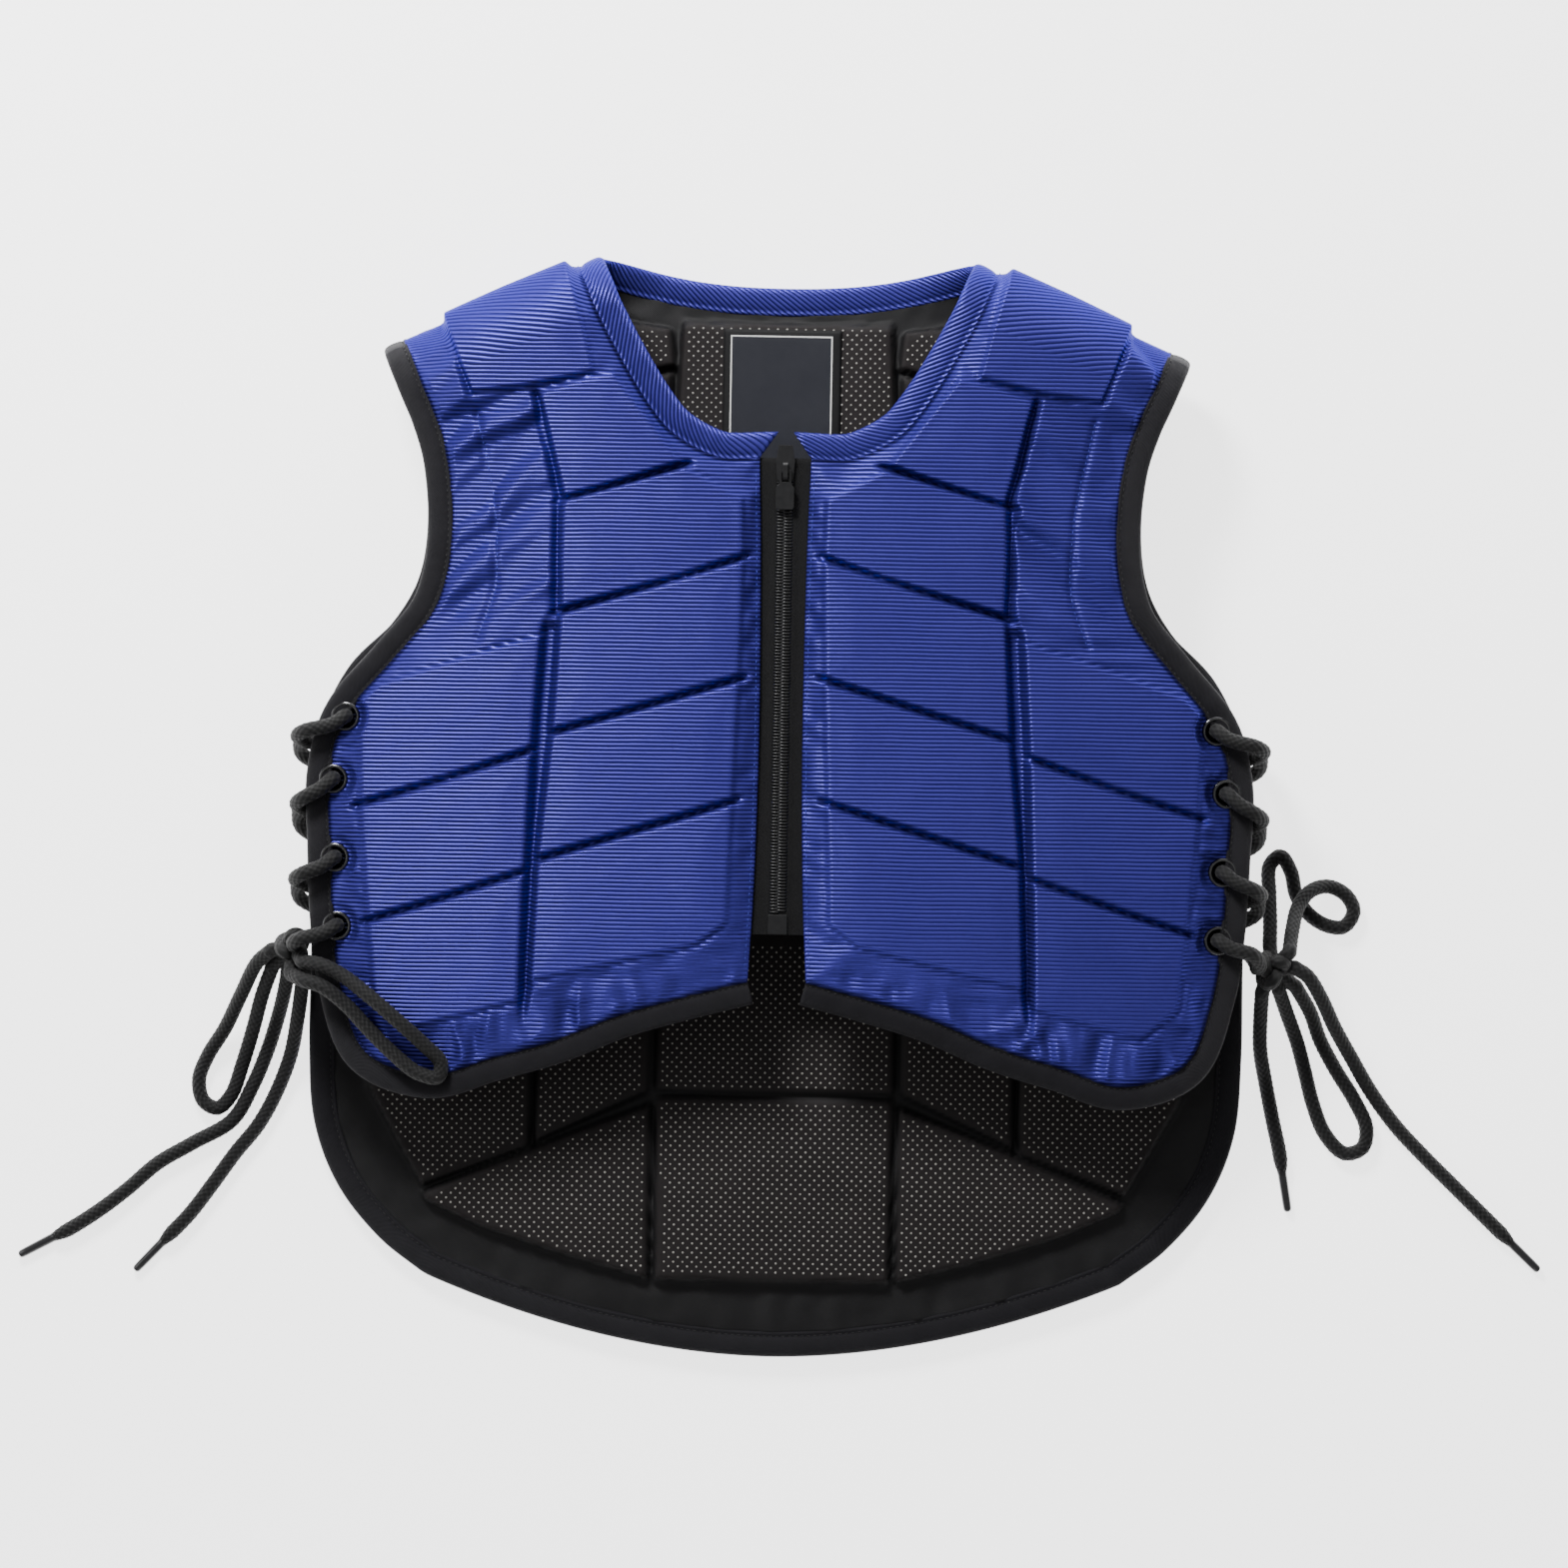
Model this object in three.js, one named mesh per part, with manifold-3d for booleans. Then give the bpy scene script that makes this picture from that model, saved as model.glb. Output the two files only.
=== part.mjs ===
// Equestrian body protector: a padded foam vest that lies on its back, zipped in front and laced at both
// sides. Millimetres, +X to the right seen from above, +Y towards the neck, +Z up from the surface it
// lies on. The origin is on that surface, under the middle of the vest.
// Plan places are shares of halfWidth and halfLength, so the panels, blocks, bindings, eyelets and zip
// follow those two sizes. The free laces keep their chosen points and go with their knot.
import * as THREE from 'three';
import Module from 'manifold-3d';

const wasm = await Module();
wasm.setup();

// Plan of the vest
const halfWidth = 188; // middle line to the side seam
const halfLength = 232; // middle to the tail's hem
const neckPoint = { x: 0.468 * halfWidth, y: 0.974 * halfLength }; // shoulder fold at the neck seam
const armPoint = { x: 0.8564 * halfWidth, y: 0.8362 * halfLength }; // and at the armhole seam
const backNeckY = 0.9073 * halfLength; // neck seam on the middle line of the back
const hemDip = 15; // how far the front hem hangs below a straight line at the side block
const neckCurve = 2.3; // how late the back neck seam turns up towards the shoulder
const tailCurve = 1.9; // roundness of the tail

// Heights above the surface, at the middle of each wall
const frontHeight = 50; // front panel at the zip
const frontSideDrop = 8; // how much lower the front's side edge lies
const frontHemDrop = 5; // how much lower the front's hem lies
const archPower = 2.4; // how square the front's arch is
const backHeight = 6.3; // back panel where it rests, also its foam's depth below the wall
const backCurl = 8; // how far the back's side flap curls up
const backCurlStart = 0.78; // share of halfWidth where that curl starts
const seamHeight = 25; // shoulder seam, on the outside of the fold
const foldRadius = 22; // plan depth of the rounded shoulder fold

// Walls, foam and edges
const wall = 3; // shell fabric, thin foam and lining pressed together
const frontFoamRise = 8; // front block's face above the middle of the wall
const backFoamInside = 6.5; // back block's lining side above the middle of the wall
const foamBevel = 3; // width of a block's sloping edge
const bindingWidth = 9.5;
const bindingThickness = 3.6;
const bandWidth = 10.5; // neck band
const bandThickness = 3.4;
const gap = 0.3; // clearance between neighbouring pieces
const bandGap = 0.5; // neck band to the panels, wider because both twist over the shoulder

// Zip
const zipHalf = 9.5; // middle line to the front panel's edge
const coilHalf = 4;
const coilThickness = 2.6;
const tapeThickness = 1.2;
const zipBottomY = -0.2241 * halfLength;
const pinBoxLength = 8.4;
const pinBoxThickness = 3.6;
const sliderLength = 15;
const sliderTopY = 0.6573 * halfLength;
const sliderThickness = 4.2;
const bridgeWidth = 2;
const bridgeLength = 7;
const bridgeHeight = 3.5;
const bridgeWall = 1.1;
const pullLength = 16;
const pullWidth = 7.6;
const pullThickness = 1.2;

// Label, eyelets and lace
const labelHalfWidth = 26;
const labelLength = 60;
const labelTopY = backNeckY - 7;
const labelThickness = 0.8;
const eyeletHole = 4.65;
const eyeletOuter = 6.25;
const eyeletHeight = 4.4;
const eyeletSides = 8;
const backEyeletInset = 5; // back eyelets sit this far inside the side seam
const laceDiameter = 6.2;
const laceSides = 6;
const laceStep = 8;
const cordSides = 8;
const cordStep = 12.4;
const knotRadii = new THREE.Vector3(7.5, 9, 8.5);
const knotRows = 6;
const agletDiameter = 3.8;
const agletLength = 17.6;

const cloth = { blue: 0x2c46b4, black: 0x17181b, lining: 0x24252a, label: 0x35373f };
const metal = { black: 0x1c1c1f, nickel: 0x3a3a3e };

// Closed solids from rows of points

function volumeOf(points, faces) {
  let sum = 0;
  for (const [a, b, c] of faces) sum += points[a].dot(points[b].clone().cross(points[c]));
  return sum / 6;
}

function solid(points, faces) {
  const inward = volumeOf(points, faces) < 0;
  const geometry = new THREE.BufferGeometry();
  const positions = points.flatMap((point) => point.toArray());
  geometry.setAttribute('position', new THREE.Float32BufferAttribute(positions, 3));
  geometry.setIndex(faces.flatMap(([a, b, c]) => (inward ? [a, c, b] : [a, b, c])));
  return geometry;
}

// Indices round the rim of a grid with so many rows and columns
function rimOf(rows, columns) {
  const rim = [];
  for (let c = 0; c < columns; c += 1) rim.push(c);
  for (let r = 1; r < rows; r += 1) rim.push(r * columns + columns - 1);
  for (let c = columns - 2; c >= 0; c -= 1) rim.push((rows - 1) * columns + c);
  for (let r = rows - 2; r > 0; r -= 1) rim.push(r * columns);
  return rim;
}

function sheetFaces(rows, columns, start, flip) {
  const faces = [];
  for (let r = 0; r + 1 < rows; r += 1) {
    for (let c = 0; c + 1 < columns; c += 1) {
      const a = start + r * columns + c;
      const b = a + columns;
      const pair = [[a, a + 1, b], [a + 1, b + 1, b]];
      for (const [i, j, k] of pair) faces.push(flip ? [i, k, j] : [i, j, k]);
    }
  }
  return faces;
}

function wallFaces(upper, lower) {
  const faces = [];
  upper.forEach((a, i) => {
    const next = (i + 1) % upper.length;
    faces.push([lower[i], lower[next], a], [lower[next], upper[next], a]);
  });
  return faces;
}

// A wall of even thickness on a grid of places, each with its point and normal
function slab(grid, above, below = above) {
  const [rows, columns] = [grid.length, grid[0].length];
  const places = grid.flat();
  const top = places.map(({ point, normal }) => point.clone().addScaledVector(normal, above));
  const bottom = places.map(({ point, normal }) => point.clone().addScaledVector(normal, -below));
  const rim = rimOf(rows, columns);
  const faces = [
    ...sheetFaces(rows, columns, 0, false),
    ...sheetFaces(rows, columns, places.length, true),
    ...wallFaces(rim, rim.map((i) => i + places.length)),
  ];
  return solid([...top, ...bottom], faces);
}

function mirrored(geometry) {
  const copy = geometry.clone().scale(-1, 1, 1);
  const index = copy.index.array;
  for (let i = 0; i < index.length; i += 3) [index[i], index[i + 1]] = [index[i + 1], index[i]];
  return copy;
}

function toManifold(geometry) {
  const vertProperties = new Float32Array(geometry.attributes.position.array);
  const triVerts = new Uint32Array(geometry.index.array);
  return new wasm.Manifold(new wasm.Mesh({ numProp: 3, vertProperties, triVerts }));
}

function fromManifold(shape) {
  const { vertProperties, triVerts } = shape.getMesh();
  const geometry = new THREE.BufferGeometry();
  geometry.setAttribute('position', new THREE.BufferAttribute(vertProperties, 3));
  geometry.setIndex(new THREE.BufferAttribute(triVerts, 1));
  return geometry;
}

function joined(base, added, cut = []) {
  let shape = toManifold(base);
  for (const piece of added) shape = shape.add(toManifold(piece));
  for (const piece of cut) shape = shape.subtract(toManifold(piece));
  return fromManifold(shape);
}

// The two skins that everything is laid on

const foldLine = new THREE.Vector2(armPoint.x - neckPoint.x, armPoint.y - neckPoint.y).normalize();
const foldNormal = new THREE.Vector2(-foldLine.y, foldLine.x);

function foldDistance(x, y) {
  return (neckPoint.x - Math.abs(x)) * foldNormal.x + (neckPoint.y - y) * foldNormal.y;
}

function frontFlat(x, y) {
  const hem = THREE.MathUtils.smoothstep(-y / halfLength, 0.1, 0.5);
  return frontHeight - frontSideDrop * (Math.abs(x) / halfWidth) ** archPower - frontHemDrop * hem;
}

function backFlat(x, y) {
  const out = Math.max(0, (Math.abs(x) / halfWidth - backCurlStart) / (1 - backCurlStart));
  const fade = 1 - THREE.MathUtils.smoothstep(-y / halfLength, 0.25, 0.7);
  return backHeight + backCurl * out ** 2 * fade;
}

// outward is 1 where the outside of the vest looks up, and -1 where it looks down
function skinAt(flat, outward, x, y) {
  const sine = THREE.MathUtils.clamp(1 - foldDistance(x, y) / foldRadius, 0, 1);
  const cosine = Math.sqrt(1 - sine ** 2);
  const reach = Math.abs(flat(x, y) - seamHeight);
  const level = cosine / reach;
  const slopeX = flat(x + 0.5, y) - flat(x - 0.5, y);
  const slopeY = flat(x, y + 0.5) - flat(x, y - 0.5);
  const normal = new THREE.Vector3(
    (Math.sign(x) * foldNormal.x * sine) / foldRadius - outward * slopeX * level,
    (foldNormal.y * sine) / foldRadius - outward * slopeY * level,
    outward * level,
  ).normalize();
  return { point: new THREE.Vector3(x, y, seamHeight + outward * reach * cosine), normal };
}

const frontSkin = (x, y) => skinAt(frontFlat, 1, x, y);
const backSkin = (x, y) => skinAt(backFlat, -1, x, y);

// How far each row of the shoulder fold has turned, from flat to its seam
const foldRows = [0, 0.5, 0.866, 1];

// Front panel: a row of the grid runs from the zip edge or neck seam to the side or armhole seam.
// inX is a share from the zip edge to the neck point, flare widens the zip gap by a share of zipHalf,
// and the other places are shares of halfWidth and halfLength.
const frontRows = [
  { inX: 0, flare: 0.28, inY: -0.31, outX: 0.915, outY: -0.448 },
  { inX: 0, flare: 0.1, inY: -0.172, outX: 0.972, outY: -0.328 },
  { inX: 0, flare: 0, inY: -0.034, outX: 0.992, outY: -0.207 },
  { inX: 0, flare: -0.05, inY: 0.103, outX: 1, outY: -0.078 },
  { inX: 0, flare: -0.05, inY: 0.241, outX: 1.004, outY: 0.052 },
  { inX: 0, flare: -0.02, inY: 0.371, outX: 0.968, outY: 0.159 },
  { inX: 0, flare: 0.03, inY: 0.5, outX: 0.867, outY: 0.259 },
  { inX: 0, flare: 0.13, inY: 0.634, outX: 0.782, outY: 0.345 },
  { inX: 0.236, flare: 0, inY: 0.634, outX: 0.748, outY: 0.431 },
  { inX: 0.465, flare: 0, inY: 0.672, outX: 0.742, outY: 0.526 },
  { inX: 0.605, flare: 0, inY: 0.724, outX: 0.755, outY: 0.625 },
  { inX: 0.758, flare: 0, inY: 0.806, outX: 0.782, outY: 0.698 },
];
const zipTopRow = 7;
const hemDips = [0, 0.11, 0.29, 0.67, 0.85, 1, 0]; // one for each column, shares of hemDip
const secondRowDip = 0.3;

function foldPlace(end, turned) {
  const back = foldRadius * (1 - turned);
  return new THREE.Vector2(end.x - foldNormal.x * back, end.y - foldNormal.y * back);
}

function frontPlan() {
  const rows = frontRows.map((row, r) => {
    const inX = zipHalf * (1 + row.flare) + row.inX * (neckPoint.x - zipHalf);
    const inner = new THREE.Vector2(inX, row.inY * halfLength);
    const outer = new THREE.Vector2(row.outX * halfWidth, row.outY * halfLength);
    return { inner, outer, dip: [1, secondRowDip][r] ?? 0 };
  });
  for (const turned of foldRows) {
    rows.push({ inner: foldPlace(neckPoint, turned), outer: foldPlace(armPoint, turned), dip: 0 });
  }
  return rows.map(({ inner, outer, dip }) => hemDips.map((share, c) => {
    const place = inner.clone().lerp(outer, c / (hemDips.length - 1));
    return place.setY(place.y - dip * share * hemDip);
  }));
}

// The last row stops half a gap short of the shoulder seam
function gridOn(skin, plan, towards) {
  return plan.map((row, r) => row.map(({ x, y }) => {
    const place = skin(x, y);
    if (r === plan.length - 1) place.point.z += (towards * gap) / 2;
    return place;
  }));
}

const frontGrid = gridOn(frontSkin, frontPlan(), 1);

// Back panel: rows from the tail to the neck, columns from side to side
const backRows = [
  { middleY: -0.96, outX: 0.761, outY: -0.823 },
  { middleY: -0.875, outX: 0.856, outY: -0.763 },
  { middleY: -0.759, outX: 0.941, outY: -0.677 },
  { middleY: -0.625, outX: 0.989, outY: -0.573 },
  { middleY: -0.466, outX: 1, outY: -0.444 },
  { middleY: -0.306, outX: 1, outY: -0.293 },
  { middleY: -0.147, outX: 1, outY: -0.142 },
  { middleY: 0, outX: 1, outY: 0 },
  { middleY: 0.129, outX: 0.992, outY: 0.121 },
  { middleY: 0.241, outX: 0.936, outY: 0.224 },
  { middleY: 0.345, outX: 0.84, outY: 0.306 },
  { middleY: 0.448, outX: 0.777, outY: 0.397 },
  { middleY: 0.56, outX: 0.755, outY: 0.504 },
  { middleY: 0.69, outX: 0.766, outY: 0.629 },
];
const neckShare = neckPoint.x / armPoint.x; // column that ends at the neck point
const halfColumns = [0, 0.5 * neckShare, 0.8 * neckShare, 0.93 * neckShare, neckShare,
  (1 + neckShare) / 2, 1];
const backColumns = [...halfColumns.slice(1).map((share) => -share).reverse(), ...halfColumns];

function backTop(share) {
  const s = Math.abs(share);
  if (s >= neckShare) {
    const along = (s - neckShare) / (1 - neckShare);
    return THREE.MathUtils.lerp(neckPoint.y, armPoint.y, along);
  }
  return backNeckY + (neckPoint.y - backNeckY) * (s / neckShare) ** neckCurve;
}

function backPlan() {
  const rows = backRows.map(({ middleY, outX, outY }) => backColumns.map((share) => {
    const y = middleY + (outY - middleY) * Math.abs(share) ** tailCurve;
    return new THREE.Vector2(share * outX * halfWidth, y * halfLength);
  }));
  for (const turned of foldRows) {
    rows.push(backColumns.map((share) => {
      const inwards = foldRadius * (1 - turned);
      const lean = Math.min(1, Math.abs(share) / neckShare) * Math.sign(share);
      const x = share * armPoint.x - foldNormal.x * inwards * lean;
      return new THREE.Vector2(x, backTop(share) - foldNormal.y * inwards);
    }));
  }
  return rows;
}

const backGrid = gridOn(backSkin, backPlan(), -1);

// Foam blocks. Each is lofted over ribs that run from its low edge to its high edge: x is a share from
// the zip edge to halfWidth on the front and of halfWidth on the back, y is a share of halfLength.
const flatSteps = [0, 1];
const curvedSteps = [0, 0.5, 1];
const foldSteps = [0, 0.5, 0.78, 1];

const frontBlocks = [
  { ribs: [[0.395, 0.783, 0.456, 0.966], [0.541, 0.757, 0.602, 0.918], [0.681, 0.743, 0.746, 0.867]],
    steps: foldSteps },
  { ribs: [[0.191, 0.624, 0.35, 0.78], [0.33, 0.588, 0.44, 0.765], [0.462, 0.556, 0.524, 0.742]] },
  { ribs: [[0.04, 0.459, 0.044, 0.56], [0.182, 0.42, 0.18, 0.613], [0.468, 0.357, 0.478, 0.546]] },
  { ribs: [[0.045, 0.24, 0.04, 0.449], [0.262, 0.188, 0.25, 0.396], [0.484, 0.136, 0.468, 0.345]] },
  { ribs: [[0.056, 0.018, 0.045, 0.23], [0.284, -0.037, 0.262, 0.179], [0.512, -0.092, 0.484, 0.127]] },
  { ribs: [[0.065, -0.202, 0.056, 0.01], [0.137, -0.242, 0.15, -0.014], [0.524, -0.314, 0.512, -0.101]] },
  { ribs: [[0.524, 0.106, 0.507, 0.308], [0.725, 0.05, 0.692, 0.264], [0.888, 0.011, 0.885, 0.214],
    [0.927, 0.002, 0.932, 0.18]] },
  { ribs: [[0.535, -0.113, 0.524, 0.097], [0.731, -0.164, 0.725, 0.041], [0.905, -0.206, 0.927, -0.006]] },
  { ribs: [[0.546, -0.349, 0.537, -0.121], [0.8, -0.403, 0.731, -0.172], [0.888, -0.345, 0.905, -0.214]],
    steps: curvedSteps },
];

const backSideBlocks = [
  { ribs: [[0.255, 0.81, 0.266, 0.875], [0.383, 0.784, 0.4, 0.89], [0.537, 0.757, 0.569, 0.905],
    [0.697, 0.733, 0.758, 0.866]], steps: foldSteps },
  { ribs: [[0.28, 0.48, 0.262, 0.795], [0.537, 0.39, 0.537, 0.745]] },
  { ribs: [[0.287, 0.148, 0.282, 0.468], [0.537, 0.058, 0.537, 0.378]] },
  { ribs: [[0.287, -0.184, 0.287, 0.136], [0.537, -0.274, 0.537, 0.046]] },
  { ribs: [[0.287, -0.515, 0.287, -0.196], [0.537, -0.61, 0.537, -0.286]] },
  { ribs: [[0.282, -0.86, 0.282, -0.545], [0.468, -0.819, 0.45, -0.597], [0.65, -0.772, 0.64, -0.66],
    [0.782, -0.724, 0.787, -0.712]] },
  { ribs: [[0.555, 0.052, 0.537, 0.306], [0.75, 0.02, 0.73, 0.262], [0.915, -0.02, 0.915, 0.19]] },
  { ribs: [[0.555, -0.28, 0.555, 0.04], [0.75, -0.315, 0.75, 0.008], [0.915, -0.35, 0.915, -0.032]],
    steps: curvedSteps },
  { ribs: [[0.555, -0.62, 0.555, -0.292], [0.793, -0.694, 0.75, -0.327], [0.915, -0.52, 0.915, -0.362]],
    steps: curvedSteps },
];

const backMiddleBlocks = [
  { ribs: [[-0.262, -0.862, -0.265, -0.528], [0.262, -0.862, 0.265, -0.528]] },
  { ribs: [[-0.267, -0.515, -0.267, -0.196], [0.267, -0.515, 0.267, -0.196]] },
  { ribs: [[-0.267, -0.184, -0.267, 0.136], [0.267, -0.184, 0.267, 0.136]] },
  { ribs: [[-0.267, 0.148, -0.262, 0.468], [0.267, 0.148, 0.262, 0.468]] },
  { ribs: [[-0.26, 0.48, -0.234, 0.886], [0.26, 0.48, 0.234, 0.886]] },
];

// The grid of a block, its rim drawn in by inset
function blockGrid(ribs, steps, skin, inset, offset) {
  const last = ribs.length - 1;
  const at = (u) => {
    const r = Math.min(Math.floor(u), last - 1);
    const [low, high] = [0, 1].map((end) => ribs[r][end].clone().lerp(ribs[r + 1][end], u - r));
    return { low, high };
  };
  const inwards = (r, s) => inset / ribs[r][0].distanceTo(ribs[s][0]);
  return ribs.map((rib, r) => {
    let u = r;
    if (r === 0) u = Math.min(0.45, inwards(0, 1));
    if (r === last) u = last - Math.min(0.45, inwards(last, last - 1));
    const { low, high } = at(u);
    const margin = Math.min(0.45, inset / low.distanceTo(high));
    return steps.map((step) => {
      const { x, y } = low.clone().lerp(high, margin + (1 - 2 * margin) * step);
      const { point, normal } = skin(x, y);
      return point.addScaledVector(normal, offset);
    });
  });
}

// A block with sloping edges on both sides of the wall, or one that ends inside the wall
function block({ ribs, steps = flatSteps }, startX, skin, outside, inside) {
  const places = ribs.map(([lowX, lowY, highX, highY]) => [
    new THREE.Vector2(startX + lowX * (halfWidth - startX), lowY * halfLength),
    new THREE.Vector2(startX + highX * (halfWidth - startX), highY * halfLength),
  ]);
  const grids = [[foamBevel, outside], [0, 0], [inside > wall / 2 ? foamBevel : 0, -inside]];
  const [top, middle, bottom] = grids.map(([inset, offset]) => (
    blockGrid(places, steps, skin, inset, offset).flat()));
  const rim = rimOf(places.length, steps.length);
  const [ringStart, bottomStart] = [top.length, top.length + rim.length];
  const ring = rim.map((_, i) => ringStart + i);
  const faces = [
    ...sheetFaces(places.length, steps.length, 0, false),
    ...wallFaces(rim, ring),
    ...wallFaces(ring, rim.map((i) => bottomStart + i)),
    ...sheetFaces(places.length, steps.length, bottomStart, true),
  ];
  return solid([...top, ...rim.map((i) => middle[i]), ...bottom], faces);
}

// Strips that run along a panel's edge. Each place on the edge also knows a point inside the panel.

function edgePlaces(grid, cells, insides) {
  return cells.map(([r, c], i) => ({ ...grid[r][c], inside: grid[insides[i][0]][insides[i][1]].point }));
}

function outwardsAlong(edge) {
  const each = edge.slice(1).map((place, i) => {
    const from = edge[i];
    const along = place.point.clone().sub(from.point);
    const across = along.cross(place.normal.clone().add(from.normal)).normalize();
    const away = from.point.clone().add(place.point).sub(from.inside).sub(place.inside);
    return across.dot(away) < 0 ? across.negate() : across;
  });
  return edge.map((_, i) => {
    const before = each[Math.max(0, i - 1)];
    const after = each[Math.min(each.length - 1, i)];
    const mean = before.clone().add(after).normalize();
    return mean.divideScalar(Math.max(0.75, mean.dot(after)));
  });
}

function edgeStrip(edge, start, width) {
  const outwards = outwardsAlong(edge);
  return edge.map(({ point, normal }, i) => [start, start + width].map((reach) => (
    { point: point.clone().addScaledVector(outwards[i], reach), normal })));
}

const range = (from, to) => {
  const step = Math.sign(to - from);
  return Array.from({ length: Math.abs(to - from) + 1 }, (_, i) => from + step * i);
};

const [frontLast, frontSide] = [frontGrid.length - 1, hemDips.length - 1];
const [backLast, backSide] = [backGrid.length - 1, backColumns.length - 1];

function frontEdge() {
  const side = range(frontLast, 1).map((r) => [r, frontSide]);
  const hem = range(frontSide, 0).map((c) => [0, c]);
  const insides = [
    ...side.map(([r]) => [r, frontSide - 1]),
    ...hem.map(([, c]) => [1, Math.min(c, frontSide - 1)]),
  ];
  return edgePlaces(frontGrid, [...side, ...hem], insides);
}

function backEdge() {
  const right = range(backLast, 1).map((r) => [r, backSide]);
  const tail = range(backSide, 0).map((c) => [0, c]);
  const left = range(1, backLast).map((r) => [r, 0]);
  const insides = [
    ...right.map(([r]) => [r, backSide - 1]),
    ...tail.map(([, c]) => [1, THREE.MathUtils.clamp(c, 1, backSide - 1)]),
    ...left.map(([r]) => [r, 1]),
  ];
  return edgePlaces(backGrid, [...right, ...tail, ...left], insides);
}

const frontBindingGrid = edgeStrip(frontEdge(), gap, bindingWidth);
const backBindingGrid = edgeStrip(backEdge(), gap, bindingWidth);

// The neck band runs up the right front, over the fold, across the back and down the left front
function neckEdge() {
  const front = range(zipTopRow, frontLast - 1).map((r) => [r, 0]);
  const right = edgePlaces(frontGrid, front, front.map(([r]) => [Math.min(r, frontLast - 3), 2]));
  const neckColumn = backColumns.indexOf(neckShare);
  const back = range(neckColumn, backSide - neckColumn).map((c) => [backLast, c]);
  const across = edgePlaces(backGrid, back, back.map(([, c]) => [backLast - 3, c]));
  across[0].point.z = seamHeight;
  across[across.length - 1].point.z = seamHeight;
  const left = right.map(({ point, normal, inside }) => ({
    point: point.clone().multiply(new THREE.Vector3(-1, 1, 1)),
    normal: normal.clone().multiply(new THREE.Vector3(-1, 1, 1)),
    inside: inside.clone().multiply(new THREE.Vector3(-1, 1, 1)),
  })).reverse();
  return [...right, ...across, ...left];
}

// The band's front ends slant, so that their free edges nearly meet over the zip
const bandEndHalf = 3.2;

function neckBandGrid() {
  const grid = edgeStrip(neckEdge(), bandGap, bandWidth);
  grid[0][1].point.x = bandEndHalf;
  grid[grid.length - 1][1].point.x = -bandEndHalf;
  return grid;
}

// Eyelets: places down the side, x a share of halfWidth and y of halfLength
const eyeletPlaces = [
  { x: 0.97, y: 0.156 },
  { x: 0.995, y: 0.043 },
  { x: 0.989, y: -0.099 },
  { x: 0.982, y: -0.222 },
];
const frontEyelets = eyeletPlaces.map(({ x, y }) => frontSkin(x * halfWidth, y * halfLength));
const backEyelets = eyeletPlaces.map(({ y }) => backSkin(halfWidth - backEyeletInset, y * halfLength));
const up = new THREE.Vector3(0, 0, 1);

function turnedTo({ point, normal }, geometry) {
  const turn = new THREE.Quaternion().setFromUnitVectors(up, normal);
  return geometry.applyQuaternion(turn).translate(point.x, point.y, point.z);
}

function rectangleRing(inner, outer, height, sides) {
  const corners = [[inner, -1], [outer, -1], [outer, 1], [inner, 1], [inner, -1]];
  const profile = corners.map(([r, end]) => new THREE.Vector2(r, (end * height) / 2));
  return new THREE.LatheGeometry(profile, sides).rotateX(Math.PI / 2);
}

function eyeletHoleCutter(place) {
  const radius = (eyeletOuter + gap) / Math.cos(Math.PI / eyeletSides);
  const points = [];
  for (const end of [-1, 1]) {
    for (let i = 0; i < eyeletSides; i += 1) {
      const angle = (2 * Math.PI * i) / eyeletSides;
      points.push(new THREE.Vector3(radius * Math.cos(angle), radius * Math.sin(angle), end * eyeletHeight));
    }
  }
  const faces = wallFaces(range(eyeletSides, 2 * eyeletSides - 1), range(0, eyeletSides - 1));
  for (let i = 1; i + 1 < eyeletSides; i += 1) {
    faces.push([0, i + 1, i], [eyeletSides, eyeletSides + i, eyeletSides + i + 1]);
  }
  return turnedTo(place, solid(points, faces));
}

const backHoles = backEyelets.map(eyeletHoleCutter);
const allBackHoles = [...backHoles, ...backHoles.map(mirrored)];
const frontHoles = frontEyelets.map(eyeletHoleCutter);

// Panels, bindings and band

const frontFoam = frontBlocks.map((one) => block(one, zipHalf, frontSkin, frontFoamRise, wall / 4));
const frontPanel = joined(slab(frontGrid, wall / 2), frontFoam, frontHoles);
const frontBinding = joined(slab(frontBindingGrid, bindingThickness / 2), [], frontHoles);

const backSideFoam = backSideBlocks.map((one) => block(one, 0, backSkin, backHeight, backFoamInside));
const backMiddleFoam = backMiddleBlocks.map((one) => block(one, 0, backSkin, backHeight, backFoamInside));
const backFoam = [...backSideFoam, ...backSideFoam.map(mirrored), ...backMiddleFoam];
const backPanel = joined(slab(backGrid, wall / 2), backFoam, allBackHoles);
const backBinding = joined(slab(backBindingGrid, bindingThickness / 2), [], allBackHoles);
const neckBand = slab(neckBandGrid(), bandThickness / 2);

// Zip: tape, coil, pin box, slider and its pull

const zipEdge = frontGrid.slice(0, zipTopRow + 1).map((row) => row[0].point);

function zipEdgeX(y) {
  const above = zipEdge.findIndex((point) => point.y >= y);
  const [low, high] = [zipEdge[above - 1], zipEdge[above]];
  return THREE.MathUtils.mapLinear(y, low.y, high.y, low.x, high.x);
}

const zipTopY = zipEdge[zipTopRow].y - gap;

function zipTape() {
  const ys = [zipBottomY, ...zipEdge.slice(1, -1).map(({ y }) => y), zipTopY];
  return slab(ys.map((y) => [coilHalf + gap, zipEdgeX(y) - gap].map((x) => frontSkin(x, y))),
    tapeThickness / 2);
}

const coilBottomY = zipBottomY + pinBoxLength + gap;
const sliderBottomY = sliderTopY - sliderLength;

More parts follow.
